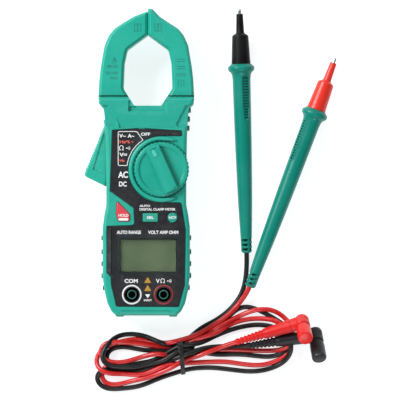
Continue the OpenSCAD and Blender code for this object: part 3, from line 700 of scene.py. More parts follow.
def makeCord(name, line, colour, body, replaced):
    data = bpy.data.curves.new(name, "CURVE")
    data.dimensions = "3D"
    spline = data.splines.new("BEZIER")
    spline.bezier_points.add(len(line) - 1)
    for point, place in zip(spline.bezier_points, line):
        point.co = Vector(place) * mm
        point.handle_left_type = point.handle_right_type = "AUTO"
    spline.resolution_u = 6
    data.bevel_depth = cords["diameter"] / 2 * mm
    data.bevel_resolution = 5
    data.use_fill_caps = True
    data.materials.append(finishes[colour])
    item = bpy.data.objects.new(name, data)
    scene.collection.objects.link(item)
    ridesOn(item, body, *replaced, slot=replaced[0])
    return item


redLine, blackLine = settle(evenly(cords["red"], cords["spacing"]), evenly(cords["black"], cords["spacing"]))
print("cords have settled, highest point", round(max(redLine[:, 2].max(), blackLine[:, 2].max()), 1), "mm")


# the case

case = {
    "middle": -0.9,
    "half": [(61.7, 28.8), (57.8, 28.4), (55.2, 25.6), (51, 25.1), (38, 24.4), (8, 24), (-3, 24), (-9, 25.2),
             (-17, 26.2), (-46, 26.2), (-54, 25.2), (-62, 23.4), (-67, 20.9), (-69.4, 18.2)],
    "ribReach": 0.8,
    "window": [(56.7, 8), (58.6, 9.4), (67.2, 14.8), (82, 14.2), (90.4, 12.4), (99.4, 0.1)],
    "split": 15.0,
    "face": 29.4,
    "round": 2.2,
    "wall": 2.2,
    "saddleDepth": 1.2,
    "ribRows": (54.3, 48.9, 43.4, -22.8, -31.2, -38.4, -45.6, -52.8),
}
dialAt = (8.3, 18.4)
jackAt = ((-9.525, -56.8), (9.525, -56.8))
screwAt = ((-5.5, 47.6), (17.5, 42.4), (-18.2, -60.6), (17, -60.6))


def bothSides(half, middle):
    return [(middle - w, y) for y, w in half] + [(middle + w, y) for y, w in half[::-1]]


def caseLoop(radius=9):
    soft = [0.6, 2] + [radius] * 10 + [4, 3]
    points = [(x, y, soft[i] if i < 14 else soft[27 - i])
              for i, (x, y) in enumerate(bothSides(case["half"], case["middle"]))]
    return roundCorners(points)


def slab(name, outline, low, high, grow=0.0, finish="wellBlack"):
    return layered(name, outline, [(low, -grow), (high, -grow)], finish)


def mouthCutters():
    boxes = [block("mouth", (-40.6, 46, 5.7), (-10.6, 76, 26.3)),
             block("mouth", (10.6, 46, 5.7), (40.6, 76, 26.3)),
             block("slot", (-44, 7.4, 9.7), (-20, 57.6, 22.3))]
    window = slab("window", bothSides(case["window"], 0), -2, 34)
    return boxes + [window]


plate = {
    "outline": [(-21.2, 41.8), (-4, 42.9), (20.4, 41.4), (20.4, 38.6), (8, 38.6), (8, -1.6), (20, -1.8),
                (22.6, -18), (22.1, -51), (18.5, -63.9), (-18.7, -63.7), (-21.7, -51), (-22, -46.2),
                (-24.4, -43.4), (-24.4, -17.4), (-22.4, 6.9)],
    "corner": 0.7,
    "notch": [(-26, 8), (-8.3, -4.8), (-7.8, -14.2), (-9.4, -15.4), (-26, -16)],
    "ring": 20.1,
    "top": 29.45,
}
display = {"centre": (0.3, -33.4), "width": 35.0, "height": 20.6}
hold = [(-18.4, -0.4), (-10.6, -8.6), (-10.8, -12.8), (-17.8, -12.8), (-19, -8)]
select = {"centre": (1.6, -10.5), "width": 9.2, "height": 5.2}
ncv = {"centre": (14.9, -10.5), "radius": 2.95}


def box2d(centre, width, height, radius=0.0):
    x, y = centre
    loop = [(x - width / 2, y - height / 2), (x + width / 2, y - height / 2),
            (x + width / 2, y + height / 2), (x - width / 2, y + height / 2)]
    return roundCorners(loop, radius) if radius else loop


def plateSolid(name, low, high, grow, finish, edge=0.0):
    levels = [(low, -grow), (high - edge, -grow)] + ([(high, edge - grow)] if edge else [])
    body = layered(name, roundCorners(plate["outline"], plate["corner"]), levels, finish)
    cut = [turned("ring", [(0, low - 1), (plate["ring"] - grow, low - 1), (plate["ring"] - grow, high + 1),
                           (0, high + 1)], finish, dialAt),
           slab("notch", roundCorners(plate["notch"], 1.2), low - 1, high + 1, -grow)]
    return combine(body, cut)


def openings(low, high, grow=0.15):
    w, h = display["width"] + 2 * grow, display["height"] + 2 * grow
    cut = [slab("glass", box2d(display["centre"], w, h, 0.5), low, high),
           slab("hold", roundCorners(hold, 0.8), low, high, grow + 0.05)]
    w, h = select["width"] + 2 * grow, select["height"] + 2 * grow
    cut.append(slab("select", box2d(select["centre"], w, h, 0.7), low, high))
    x, y = ncv["centre"]
    cut.append(slab("ncv", circle(x, y, ncv["radius"] + grow), low, high))
    return cut


def makeFrontShell():
    face, split = case["face"], case["split"]
    loop = caseLoop()
    levels = [(split, 0.35), (split + 0.35, 0.35), (split + 0.45, 0)]
    steps = 7
    for k in range(steps + 1):
        a = math.pi / 2 * k / steps
        levels.append((face - case["round"] + case["round"] * math.sin(a), case["round"] * (1 - math.cos(a))))
    shell = layered("frontShell", loop, levels, "caseTeal")
    hollow = layered("hollow", loop, [(split - 1, case["wall"]), (face - 2.2, case["wall"])], "wellBlack")
    cut = [hollow] + mouthCutters() + openings(20, 40)
    cut.append(plateSolid("recess", face - 0.9, 40, 0.42, "wellBlack"))
    cut.append(slab("well", circle(*dialAt, 17.1, 128), 27.8, 40))
    for x, y in jackAt:
        cut.append(slab("jack", circle(x, y, 4.95), 10, 40))
        cut.append(slab("jackStep", circle(x, y, 6.0), face - 1, 40))
    # saddle between the arms, with its deeper pocket
    saddle = [(-11.8, 60), (-11.8, 53.2), (-10.8, 52.5), (10.6, 52.5), (11.6, 53.2), (11.6, 60)]
    floor = face - case["saddleDepth"]
    cut.append(layered("saddle", saddle, [(floor, 0.9), (face - 0.4, 0.1), (face + 2, 0)], "caseTeal"))
    cut.append(slab("pocket", box2d((-9.2, 54.9), 5.0, 2.8, 0.5), face - 2.05, face + 2))
    # the outer corners drop away along two slanted creases
    for crease in ([(-23.8, 57.2), (-17.6, 47.2), (-18.6, 43.4), (-34, 43.4), (-34, 57.2)],
                   [(22.6, 57.2), (34, 57.2), (34, 43.4), (17.8, 43.4), (16.6, 45.6)]):
        levels = [(face - 1.3, 1.1), (face + 0.02, 0.1), (face + 3, 0)]
        cut.append(layered("crease", roundCorners(crease, 0.5), levels, "caseTeal"))
    # a long shallow trough above the plate
    section = [(43.2, 28.55), (44.6, 28.5), (46.6, 28.75), (49, 29.15), (51.6, 29.45), (51.6, 32), (43.2, 32)]
    trough = []
    for x, spread in ((-1, 17.0), (1, 16.4)):
        for y, z in section:
            trough.append((x * (spread + (y - 43.2) * 0.25), y, z))
    count = len(section)
    faces = [tuple(range(count)), tuple(range(2 * count - 1, count - 1, -1))]
    faces += [(k, count + k, count + (k + 1) % count, (k + 1) % count) for k in range(count)]
    cut.append(toObject("trough", trough, faces, "caseTeal"))
    # fine moulded line above the lower edge
    cut.append(slab("line", box2d((-0.6, -66.6), 30, 0.5, 0.2), face - 0.35, face + 2))
    shell = combine(shell, cut)
    rim = turned("rim", [(17.15, 27.3), (19.9, 27.3), (19.85, 29.5), (19.6, 30.2), (19.1, 30.65),
                         (18.4, 30.8), (17.8, 30.7), (17.4, 30.35), (17.15, 29.8)], "caseTeal", dialAt, 160)
    clip = slab("clip", loop, 20, 40, -0.4, "caseTeal")
    rim = combine(rim, [clip], "INTERSECT")
    rim = combine(rim, [block("thumb", (10.5, 1.1, 28.2), (40, 35.7, 40), "caseTeal")])
    shell = combine(shell, [rim], "UNION")
    shell = roundEdges(shell, 0.22, 2, 42)
    return ridesOn(shell, "meter", "front_case")


def makeRearShell():
    split = case["split"]
    loop = caseLoop()
    levels = []
    for k in range(7):
        a = math.pi / 2 * k / 6
        levels.append((case["round"] * (1 - math.cos(a)), case["round"] * (1 - math.sin(a))))
    levels += [(split - 0.55, 0), (split - 0.45, 0.35), (split - 0.1, 0.35)]
    shell = layered("rearShell", loop, levels, "caseTeal")
    cut = [layered("hollow", loop, [(case["wall"], case["wall"]), (split + 1, case["wall"])], "wellBlack")]
    cut += mouthCutters()
    cut.append(slab("coverBed", box2d((0, -22.5), 30.3, 64.3, 1.6), -1, 1.15))
    cut.append(slab("batteryWay", box2d((0, -25.5), 24.3, 46.9, 0.8), -1, 4))
    for x, y in screwAt:
        cut.append(slab("screwWay", circle(x, y, 2.4, 48), -1, 4.2))
    cut.append(slab("coverScrewWay", circle(0, 6.5, 1.4, 32), -1, 9))
    # five shallow grooves above the cover, each shorter than the last
    for k in range(5):
        cut.append(slab("groove", box2d((0, 20 + 4.2 * k), 22 - 2.2 * k, 1.3, 0.6), -1, 0.45))
    shell = combine(shell, cut)
    shell = roundEdges(shell, 0.22, 2, 42)
    return ridesOn(shell, "meter", "rear_case")


def makeGripRibs():
    widths = case["half"][::-1]
    ribs = []
    for y in case["ribRows"]:
        half = np.interp(y, [p[0] for p in widths], [p[1] for p in widths])
        for side in (-1, 1):
            if side < 0 and y > 40:
                continue
            reach = 1.3 if y > 40 else case["ribReach"]
            x = case["middle"] + side * (half + reach / 2 - 0.4)
            outline = box2d((x, y), reach + 0.8, 2.9, 0.6)
            # the ribs take a darker teal than the case: painted shade on their sides
            ribs.append(layered("rib", outline, softTop(4.5, 26.4, 0.8), "gripShadeTeal"))
    feet = [layered("foot", box2d((x, -68.7), 5.2, 3.0, 1.2), softTop(3.5, 27.2, 1.2), "caseTeal")
            for x in (-16.8, 15.2)]
    return ridesOn(joined("gripRibs", ribs + feet), "meter", slot="front_case")


cover = {"centre": (0, -22.5), "width": 30, "length": 64, "ribs": 9}


def makeBatteryCover():
    body = layered("batteryCover", box2d(cover["centre"], cover["width"], cover["length"], 1.5),
                   [(0.0, 0.35), (0.3, 0), (1.0, 0)], "caseTeal")
    lid = slab("lid", box2d((0, -25.5), 24, 46.6, 0.8), 0.9, 2, 0, "caseTeal")
    body = combine(body, [lid], "UNION")
    cut = [slab("screwSeat", circle(0, 6.5, 2.6, 48), -1, 0.6),
           slab("screwHole", circle(0, 6.5, 1.5, 32), -1, 3)]
    for k in range(cover["ribs"]):
        cut.append(slab("grip", box2d((0, -42 + 2.2 * k), 18 - 1.2 * k, 1.0, 0.45), -1, 0.35))
    cut.append(slab("arrow", roundCorners([(-3, -18), (3, -18), (0, -13.6)], 0.3), -1, 0.35))
    body = combine(body, cut)
    return ridesOn(roundEdges(body, 0.12, 2, 42), "meter", "battery_cover")


def makeScrew(name, x, y, head, top, low, finish="steel"):
    body = turned(name, [(0, low), (head - 0.3, low), (head, low + 0.35), (head, top), (1.0, top + 0.1),
                         (1.0, top + 6), (0, top + 6.4)], finish, (x, y), 64)
    cross = []
    for turn in (0.35, 0.35 + math.pi / 2):
        at = Matrix.Translation((x, y, 0)) @ Matrix.Rotation(turn, 4, "Z")
        cross.append(layered("cross", box2d((0, 0), head * 1.25, head * 0.26), [(low - 1, 0), (low + 0.6, 0)],
                             finish, place=at))
    return combine(body, cross)


def makeScrews():
    heads = [makeScrew("caseScrew", x, y, 2.2, 4.2, 2.3) for x, y in screwAt]
    ridesOn(joined("caseScrews", heads), "meter", "case_screws")
    ridesOn(makeScrew("coverScrew", 0, 6.5, 2.4, 0.6, 0.1), "meter", "cover_screw")


# the jaws

jaws = {
    "low": 6.0, "middle": 16.0, "high": 26.0, "round": 1.7, "wall": 1.8, "pivot": (-25, 57.6),
    "sheets": 14, "sheetEdge": {"moving": -0.55, "fixed": 0.12},
    "moving": [(-29.7, 62.1, 0.3), (-29.2, 72, 6), (-28.3, 80, 9), (-27.1, 87, 9), (-26.0, 93, 9),
               (-23.4, 99, 9), (-20.2, 102.9, 8), (-16.3, 105.6, 9), (-12.3, 108.1, 9), (-7.9, 110.6, 5),
               (-0.1, 113.6, 0.5), (-0.1, 99.4, 0.3), (-12.4, 90.4, 3.5), (-14.2, 82, 9), (-14.8, 67.2, 4),
               (-11.6, 62.1, 0.3), (-11.8, 57, 0.5), (-14, 51, 1), (-21.6, 48.4, 1), (-25.6, 48.4, 1),
               (-26.2, 54, 1), (-29.5, 58.2, 1)],
    "fixed": [(11.6, 62.1, 0.3), (14.8, 67.2, 4), (14.2, 82, 9), (12.4, 90.4, 3.5), (0.1, 99.4, 0.3),
              (0.1, 115.2, 0.5), (3.0, 114.9, 1.2), (6.9, 110.6, 1.5), (10.5, 108.1, 5),
              (14.5, 105.5, 9), (18.6, 102.8, 8), (21.6, 99, 9), (24.3, 93, 9), (25.3, 87, 9), (26.5, 80, 9),
              (27.4, 72, 6), (27.9, 62.1, 0.3), (27.4, 58.2, 1), (24.4, 54.4, 1), (24.1, 46.05, 0.5),
              (10.8, 46.05, 0.5)],
}


def makeJaw(side):
    loop = roundCorners(jaws[side])
    low, middle, high, wall, soft = (jaws[k] for k in ("low", "middle", "high", "wall", "round"))
    front = [(middle + 0.05, 0.3), (middle + 0.3, 0.3), (middle + 0.4, 0)]
    rear = []
    for rise, pull in ((0, 0), (0.1, 0.02), (0.2, 0.09), (0.85, 0.72), (0.93, 0.84), (0.98, 0.93), (1, 1)):
        front.append((high - soft + soft * rise, soft * pull))
        rear.insert(0, (low + soft - soft * rise, soft * pull))
    rear += [(middle - 0.4, 0), (middle - 0.3, 0.3), (middle - 0.05, 0.3)]
    body = "moving_jaw" if side == "moving" else "meter"
    for half, levels in (("Front", front), ("Rear", rear)):
        shell = layered(side + "Jaw" + half, loop, levels, "jawTeal")
        keep = slab("keep", [(-60, 64.2), (60, 64.2), (60, 130), (-60, 130)], 0, 40)
        cavity = layered("cavity", loop, [(low + wall, wall), (high - wall, wall)], "wellBlack")
        cavity = combine(cavity, [keep], "INTERSECT")
        cut = [cavity]
        if side == "moving":
            cut.append(slab("bore", circle(*jaws["pivot"], 2.05, 48), 0, 40))
            if half == "Rear":
                cut.append(slab("springWay", circle(*jaws["pivot"], 4.2, 48), 0, 11))
        if half == "Front":
            foot = [(-40, 62.15), (40, 62.15), (40, 62.95), (-40, 62.95)]
            cut.append(slab("foot", foot, high - 1.6, high + 2))
        ridesOn(combine(shell, cut), body, side + "_jaw_" + half.lower())
    # the core's laminated faces show at the seam between the arms
    x = jaws["sheetEdge"][side]
    sheets = []
    for k in range(jaws["sheets"]):
        sheets.append(block("sheet", (x, 100.6, 9 + k), (x + 0.43, 112.0, 9.75 + k), "steel"))
    ridesOn(joined(side + "SeamSheets", sheets), body, slot=side + "_core")
    low, high = (-29.3, -12.2) if side == "moving" else (12.2, 27.5)
    # a black strip down in the groove at the foot of each arm: painted shade for the gap
    strip = [(low, 62.2), (high, 62.2), (high, 62.9), (low, 62.9)]
    gapShade = layered("gapShade", strip, [(24.3, 0), (25.0, 0)], "wellBlack")
    gapShade.name = side + "JawSeal"
    ridesOn(gapShade, body, slot=side + "_jaw_front")


marks = {
    # left corner, width, height of each moulded bar on the arms
    "moving": [(-8.3, 101.6, 0.35, 4.4), (-4.4, 101.6, 0.35, 4.4), (-8.3, 105.7, 4.2, 0.35),
               (-8.3, 101.4, 4.2, 0.35), (-6.45, 101.9, 0.6, 3.8), (-24.5, 79.6, 2.6, 1.5),
               (-21.4, 79.6, 3.2, 0.5), (-21.4, 80.6, 3.2, 0.5), (-25.3, 76.6, 3, 0.45),
               (-21.7, 76.6, 3.6, 0.45), (-25.3, 75.6, 3, 0.45), (-21.7, 75.6, 3.6, 0.45),
               (-22.6, 72.7, 4.4, 0.45), (-22.6, 73.6, 4.4, 0.45), (-21.5, 82.4, 2.8, 0.4)],
    "fixed": [(4.0, 101.6, 0.35, 4.4), (7.8, 101.6, 0.35, 4.4), (4.0, 105.7, 4.15, 0.35),
              (4.0, 101.4, 4.15, 0.35), (5.85, 101.9, 0.6, 3.8), (17.5, 84.6, 5, 0.4), (17.5, 83.2, 5, 0.4),
              (17.7, 80.0, 4.6, 0.5), (17.7, 78.7, 4.6, 0.5), (17.2, 75.6, 5.6, 0.45),
              (17.2, 74.4, 5.6, 0.45), (18.2, 68.3, 0.4, 4.2), (21.4, 68.3, 0.4, 4.2),
              (19.8, 68.3, 0.4, 4.2)],
}


def makeJawMarks(side):
    rise = [(25.9, 0), (26.08, 0), (26.16, 0.08)]
    # the bars rise barely above the arm; their darker teal paints in the shade of engraved marks
    bars = []
    for x, y, w, h in marks[side]:
        bars.append(layered("bar", box2d((x + w / 2, y + h / 2), w, h, 0.15), rise, "markShadeTeal"))
    if side == "moving":
        arrow = roundCorners([(-21.6, 83.6), (-18.6, 83.6), (-20.1, 86)], 0.2)
        bars.append(layered("arrow", arrow, rise, "markShadeTeal"))
    ridesOn(joined(side + "JawMarks", bars), "moving_jaw" if side == "moving" else "meter",
            slot=side + "_jaw_front")


trigger = {
    "low": 10.0, "high": 22.0, "teeth": 11, "bite": 0.45,
    "start": (-37.2, 19.2), "end": (-29.6, 37),
    "front": [(-26.2, 45, 1.5), (-26.8, 48.2, 0.5), (-21.8, 48.2, 0.5), (-23.9, 43.6, 1), (-24.4, 12, 0.5),
              (-25.3, 8.1, 0.5), (-37.4, 14, 1.4), (-38.2, 15.4, 1.2)],
    "panel": [(-26.6, 41.6), (-25.4, 38), (-25.6, 14.6), (-33.6, 18.2)],
}


def makeTrigger():
    a, b = Vector(trigger["start"]), Vector(trigger["end"])
    side = Vector((-(b - a).y, (b - a).x)).normalized()
    edge = []
    for k in range(trigger["teeth"] * 2 + 1):
        p = a.lerp(b, k / (trigger["teeth"] * 2))
        if k % 2:
            p = p - side * trigger["bite"]
        edge.append((p.x, p.y, 0.25))
    body = layered("trigger.shape", roundCorners(edge + trigger["front"]),
                   softTop(trigger["low"], trigger["high"], 1.3, 5, 0.9), "jawTeal")
    panel = layered("panel", roundCorners(trigger["panel"], 0.6),
                    [(trigger["high"] - 0.75, 0.35), (trigger["high"] + 1, 0)], "jawTeal")
    body = combine(body, [panel])
    return ridesOn(roundEdges(body, 0.15, 2, 45), "moving_jaw", "trigger")


# the face: plate, print, display, buttons, jacks

def makePlate():
    top = plate["top"]
    body = plateSolid("facePlate", case["face"] - 0.75, top, 0, "plateSlate", 0.12)
    cut = openings(20, 40, 0.4)
    for x, y in jackAt:
        cut.append(slab("jack", circle(x, y, 6.1), 20, 40))
    body = combine(body, cut)
    # a thin groove inside the edge of the lower field
    cut = [slab("crease", box2d((-21.75, -30.6), 0.3, 27, 0.1), top - 0.35, top + 1)]
    body = combine(body, cut)
    ridesOn(body, "meter", "face_plate")
    # the darker sloping facet beside it; its own slate tint is painted light and shade for the slope
    facet = [(-24.15, -17.9), (-22.05, -16.4), (-22.05, -45.0), (-24.15, -43.0)]
    verts = [(x, y, z) for z in (top - 0.2, 0) for x, y in facet]
    for k in range(4, 8):
        x, y, _ = verts[k]
        verts[k] = (x, y, top + (0.28 if x > -23 else 0.03))
    faces = [(0, 1, 2, 3), (4, 5, 6, 7)] + [(k, (k + 1) % 4, 4 + (k + 1) % 4, 4 + k) for k in range(4)]
    ridesOn(toObject("sideFacet", verts, faces, "facetLitSlate"), "meter", slot="face_plate")


text = [
    # words, left edge, middle line, cap height, ink
    ("V~", -17.1, 38.5, 2.3, "inkWhite"), ("A~", -12.0, 38.5, 2.3, "inkWhite"),
    ("Hz%", -16.9, 34.9, 1.7, "inkRed"), ("V=", -17.0, 27.2, 2.3, "inkWhite"),
    ("Hz", -16.8, 23.7, 1.6, "inkRed"), ("OFF", -4.0, 39.5, 1.9, "inkWhite"),
    ("AC", -17.8, 15.2, 3.9, "inkWhite"), ("DC", -17.2, 9.6, 3.0, "inkWhite"),
    ("AUTO", -4.9, -3.5, 1.3, "inkWhite"), ("DIGITAL CLAMP METER", -4.9, -5.6, 1.5, "inkWhite"),
    ("AUTO RANGE", -18.6, -19.4, 2.1, "inkWhite"), ("VOLT AMP OHM", 0.2, -19.4, 2.1, "inkWhite"),
    ("COM", -13.9, -48.6, 2.4, "inkWhite"), ("V", 4.9, -48.6, 2.4, "inkWhite"),
    ("INPUT", -2.3, -60.2, 1.2, "inkWhite"),
]
widths = {"V~": 4.0, "A~": 4.0, "Hz%": 6.2, "V=": 4.6, "Hz": 3.0, "OFF": 5.5, "AC": 6.0, "DC": 4.6,
          "AUTO": 6.4, "DIGITAL CLAMP METER": 21.6, "AUTO RANGE": 14.6, "VOLT AMP OHM": 18.2, "COM": 8.0,
          "V": 2.3, "INPUT": 4.8}


def printWords(words, left, middle, height, ink, z, width):
    item = lettering("print", words, z, height * 1.4, ink, height * 0.045)
    co = np.array([v.co for v in item.data.vertices])
    low, high = co.min(axis=0), co.max(axis=0)
    sx = width * mm / (high[0] - low[0])
    sy = height * mm / (high[1] - low[1]) if "%" not in words else 1
    item.data.transform(Matrix.Translation((left * mm, middle * mm, 0)) @ Matrix.Diagonal((sx, sy, 1, 1))
                        @ Matrix.Translation((-low[0], -(low[1] + high[1]) / 2, 0)))
    return item


def omega(x, y, size, z, ink):
    # open ring on two short feet
    points = [(x + size * 0.5 * math.cos(a), y + size * 0.56 * math.sin(a) + size * 0.08)
              for a in np.linspace(math.radians(-62), math.radians(242), 26)]
    foot = y - size * 0.47
    points = [(x + size * 0.62, foot), (x + size * 0.24, foot)] + points
    points += [(x - size * 0.24, foot), (x - size * 0.62, foot)]
    return ribbon("omega", points, size * 0.17, z, ink)


def buzzer(x, y, size, z, ink):
    rows = [ribbon("dot", [(x - size * 0.25, y), (x + size * 0.2, y)], size * 0.42, z, ink)]
    for r in (0.55, 0.95, 1.35):
        arc = [(x + size * r * math.cos(a), y + size * r * 0.8 * math.sin(a))
               for a in np.linspace(-0.75, 0.75, 9)]
        rows.append(ribbon("wave", arc, size * 0.17, z, ink))
    return rows


def makePrint():
    z = plate["top"] + 0.012
    items = [printWords(words, left, middle, height, ink, z, widths[words])
             for words, left, middle, height, ink in text]
    x, y = dialAt
    frameArc = [(x + 20.75 * math.cos(a), y + 20.75 * math.sin(a))
                for a in np.linspace(math.radians(122.5), math.radians(173.2), 30)]
    outline = [(-17.2, 41.1), (-7.2, 41.1), (-6.2, 40.7)] + frameArc
    outline += [(-12.4, 20.7), (-17.2, 20.7), (-17.7, 21.2), (-17.7, 40.6)]
    items.append(ribbon("frame", outline, 0.42, z, "inkWhite", True))
    items.append(omega(-15.8, 31.1, 2.3, z, "inkWhite"))
    items += buzzer(-12.6, 31.1, 1.5, z, "inkWhite")
    items += buzzer(-9.9, 34.9, 0.9, z, "inkRed")
    items.append(omega(9.0, -48.6, 2.2, z, "inkWhite"))
    items += buzzer(12.1, -48.6, 1.5, z, "inkWhite")
    for y in (-48.1, -52.9):
        tri = roundCorners([(-2.15, y - 1.7), (2.15, y - 1.7), (0, y + 2.0)], 0.35)
        items.append(layered("triangle", tri, [(z - 0.05, 0), (z + 0.01, 0)], "inkYellow"))
    mark = roundCorners([(-1.6, -56.6), (1.6, -56.6), (0, -58.9)], 0.2)
    items.append(layered("pointer", mark, [(z - 0.05, 0), (z + 0.01, 0)], "inkWhite"))
    return ridesOn(joined("facePrint", items), "meter", slot="face_plate")


def makeDisplay():
    x, y = display["centre"]
    w, h = display["width"], display["height"]
    # dark frame wall down to the panel
    outer = box2d((x, y), w, h, 0.4)
    frameBody = slab("frame", outer, 26.9, 29.3, 0, "wellBlack")
    inner = layered("inner", box2d((x, y), w - 1.6, h - 1.4, 0.4), [(26, 0.5), (27.6, 0), (30, -0.3)],
                    "wellBlack")
    ridesOn(combine(frameBody, [inner]), "meter", slot="face_plate")
    frameBody.name = "displayFrame"
    panel = layered("lcdSheet", box2d((x, y), 38.8, 23.8, 0.4), [(26.05, 0), (27.08, 0)], "lcdOlive")
    ridesOn(panel, "meter", "lcd_panel")
    glass = layered("displayGlass", box2d((x, y), w - 1.7, h - 1.5, 0.3),
                    [(27.82, 0.1), (27.95, 0), (28.35, 0), (28.45, 0.12)], "lensClear")
    ridesOn(glass, "meter", "display_lens")


buttons = {"skirt": 26.2, "holdTop": 30.35, "selectTop": 30.25, "ncvTop": 30.25}


def makeButtons():
    low = buttons["skirt"]
    cap = layered("hold.cap", roundCorners(hold, 0.9), softTop(low, buttons["holdTop"], 0.8, 5, 0.2),
                  "holdRed")
    z = buttons["holdTop"] + 0.015
    printed = [printWords("HOLD", -17.5, -9.2, 1.7, "inkWhite", z, 5.9),
               layered("patch", box2d((-14.6, -11.6), 5.8, 1.5, 0.5), [(z - 0.06, 0), (z, 0)], "inkWhite")]
    ridesOn(joined("holdCap", [cap] + printed), "hold_button", "hold_button")
    cap = layered("select.cap", box2d(select["centre"], select["width"], select["height"], 0.6),
                  softTop(low, buttons["selectTop"], 0.55, 4, 0.2), "keyTeal")
    z = buttons["selectTop"] + 0.015
    printed = printWords("SEL", select["centre"][0] - 2.1, -10.5, 1.6, "inkWhite", z, 4.2)
    ridesOn(joined("selectCap", [cap, printed]), "select_button", "select_button")
    x, y = ncv["centre"]
    cap = layered("ncv.cap", circle(x, y, ncv["radius"], 72), softTop(low, buttons["ncvTop"], 0.6, 4, 0.2),
                  "keyTeal")
    printed = printWords("NCV", x - 2.2, y, 1.6, "inkWhite", z, 4.4)
    ridesOn(joined("ncvCap", [cap, printed]), "ncv_button", "ncv_button")


def makeJack(side, ink):
    x, y = jackAt[side]
    name = ("com", "volt")[side]
    cup = turned(name + "Cup", [(0, 9), (4.9, 9), (4.9, 29.35), (4.75, 29.45), (4.3, 29.45), (4.15, 29.2),
                                (4.1, 10.1), (0, 10.1)], "wellBlack", (x, y), 96)
    ridesOn(cup, "meter", name + "_jack_cup")
    # the sleeve's teal tint is a painted reflection
    socket = turned(name + "Socket", [(2.05, 10.1), (2.95, 10.1), (2.95, 28.0), (2.75, 28.35), (2.3, 28.4),
                                      (2.05, 28.1)],
                    "socketTealReflection", (x, y), 72)
    ridesOn(socket, "meter", name + "_socket")
    ring = turned(name + "Ring", [(4.98, 28.45), (5.9, 28.45), (5.9, 29.5), (5.72, 29.62), (5.1, 29.62),
                                  (4.98, 29.5)], ink, (x, y), 96)
    ridesOn(ring, "meter", name + "_ring")


# the dial

knob = {
    "radius": 16.6, "scallops": 40, "bite": 0.5, "low": 28.1, "top": 31.6, "floor": 30.5, "floorRadius": 13.4,
    "turn": 24.0, "barReach": 14.9,
    # across the grip bar: sideways, height
    "bar": [(-4.6, 29.9), (-4.5, 31.2), (-3.3, 33.6), (-1.8, 34.9), (0.5, 35.4), (3.4, 35.6), (4.25, 35.35),
            (4.6, 34.7), (4.62, 29.9)],
}


def makeKnob():
    x, y = dialAt
    outline = []
    for k in range(knob["scallops"] * 12):
        a = 2 * math.pi * k / (knob["scallops"] * 12)
        dip = max(0, math.cos(a * knob["scallops"])) ** 2
        r = knob["radius"] - knob["bite"] * dip
        outline.append((x + r * math.cos(a), y + r * math.sin(a)))
    skirt = layered("skirt", outline, [(knob["low"], 0.12), (knob["low"] + 0.2, 0), (knob["top"] - 0.8, 0),
                                       (knob["top"] - 0.6, 0.12)], "knobTeal", 30)
    fr, floor, top = knob["floorRadius"], knob["floor"], knob["top"]
    crown = turned("crown", [(0, 28.5), (15.9, 28.5), (15.9, top - 0.65), (15.75, top - 0.25), (15.35, top),
                             (fr + 0.75, top), (fr + 0.35, top - 0.15), (fr, floor + 0.3), (fr - 0.5, floor),
                             (0, floor)], "knobTeal", dialAt, 128)
    dish = turned("dish", [(0, floor), (fr - 0.5, floor), (fr, floor + 0.3), (fr + 0.35, top - 0.15),
                           (fr + 0.75, top + 0.3), (0, top + 0.3)], "knobTeal", dialAt, 128)
    disc = combine(combine(skirt, [dish]), [crown], "UNION")
    shaft = turned("shaft", [(0, 26.5), (4, 26.5), (4, 29), (0, 29)], "knobTeal", dialAt, 64)
    verts = []
    for along in (-20, 20):
        verts += [(across, along, z) for across, z in knob["bar"]]
    count = len(knob["bar"])
    faces = [tuple(range(count)), tuple(range(count, 2 * count))]
    faces += [(k, (k + 1) % count, count + (k + 1) % count, count + k) for k in range(count)]
    at = Matrix.Translation((x, y, 0)) @ Matrix.Rotation(math.radians(knob["turn"]), 4, "Z")
    bar = toObject("bar", verts, faces, "knobTeal", 30, at)
    reach = knob["barReach"]
    clip = turned("clip", [(0, 28), (reach + 0.4, 28), (reach, 33.6), (reach - 0.7, 35),
                           (reach - 2.0, 35.8), (0, 36)],
                  "knobTeal", dialAt, 128)
    bar = combine(bar, [clip], "INTERSECT", 30)
    window = layered("window", roundCorners([(-3.3, 7.4), (2.9, 7.4), (2.9, 13.9), (-2.9, 13.9)], 0.8),
                     [(34.75, 0.4), (37, 0)], "knobTeal", place=at)
    bar = combine(bar, [window], "DIFFERENCE", 30)
    body = combine(disc, [bar, shaft], "UNION", 30)
    outline = roundCorners([(-1.1, 8.3), (1.1, 8.3), (1.1, 11.2), (0, 12.9), (-1.1, 11.2)], 0.3)
    pointer = layered("pointer", outline, [(34.6, 0), (34.95, 0), (35.05, 0.12)], "inkPale", place=at)
    item = joined("functionKnob", [body, pointer])
    return ridesOn(item, "dial", "function_dial")


# the test leads

def laid(x, y, z, *turns):
    at = Matrix.Translation((x, y, z))
    for axis, angle in turns:
        at = at @ Matrix.Rotation(math.radians(angle), 4, axis)
    return at


probe = {
    "length": 148.5,
    "handle": [(0, 0), (2.35, 0), (3.0, 0.5), (3.3, 1.2), (3.45, 9), (3.85, 19), (4.25, 30), (4.65, 46),
               (4.95, 62), (5.2, 82), (5.35, 100), (5.4, 105), (5.7, 108), (6.4, 109.6), (7.5, 110.5),
               (8, 111.3), (8, 112.7), (7.7, 113.3), (6.9, 113.9), (6.2, 114.8), (4.65, 114.9),
               (4.65, 124.5), (0, 124.5)],
    "sleeve": [(0, 114.6), (4.6, 114.6), (5.8, 115.0), (5.75, 115.9), (5.6, 117), (5.3, 124), (4.95, 131.3),
               (4.7, 132.1), (2.9, 133.2), (2.45, 133.8), (2.2, 140), (2.05, 144.6), (1.8, 145.1),
               (1.02, 145.2), (1.02, 120), (0, 120)],
    "needle": [(0, 121), (1, 121), (1, 147.2), (0.8, 147.9), (0.3, 148.4), (0, 148.5)],
    "grooves": 15, "tailSlots": 3,
}
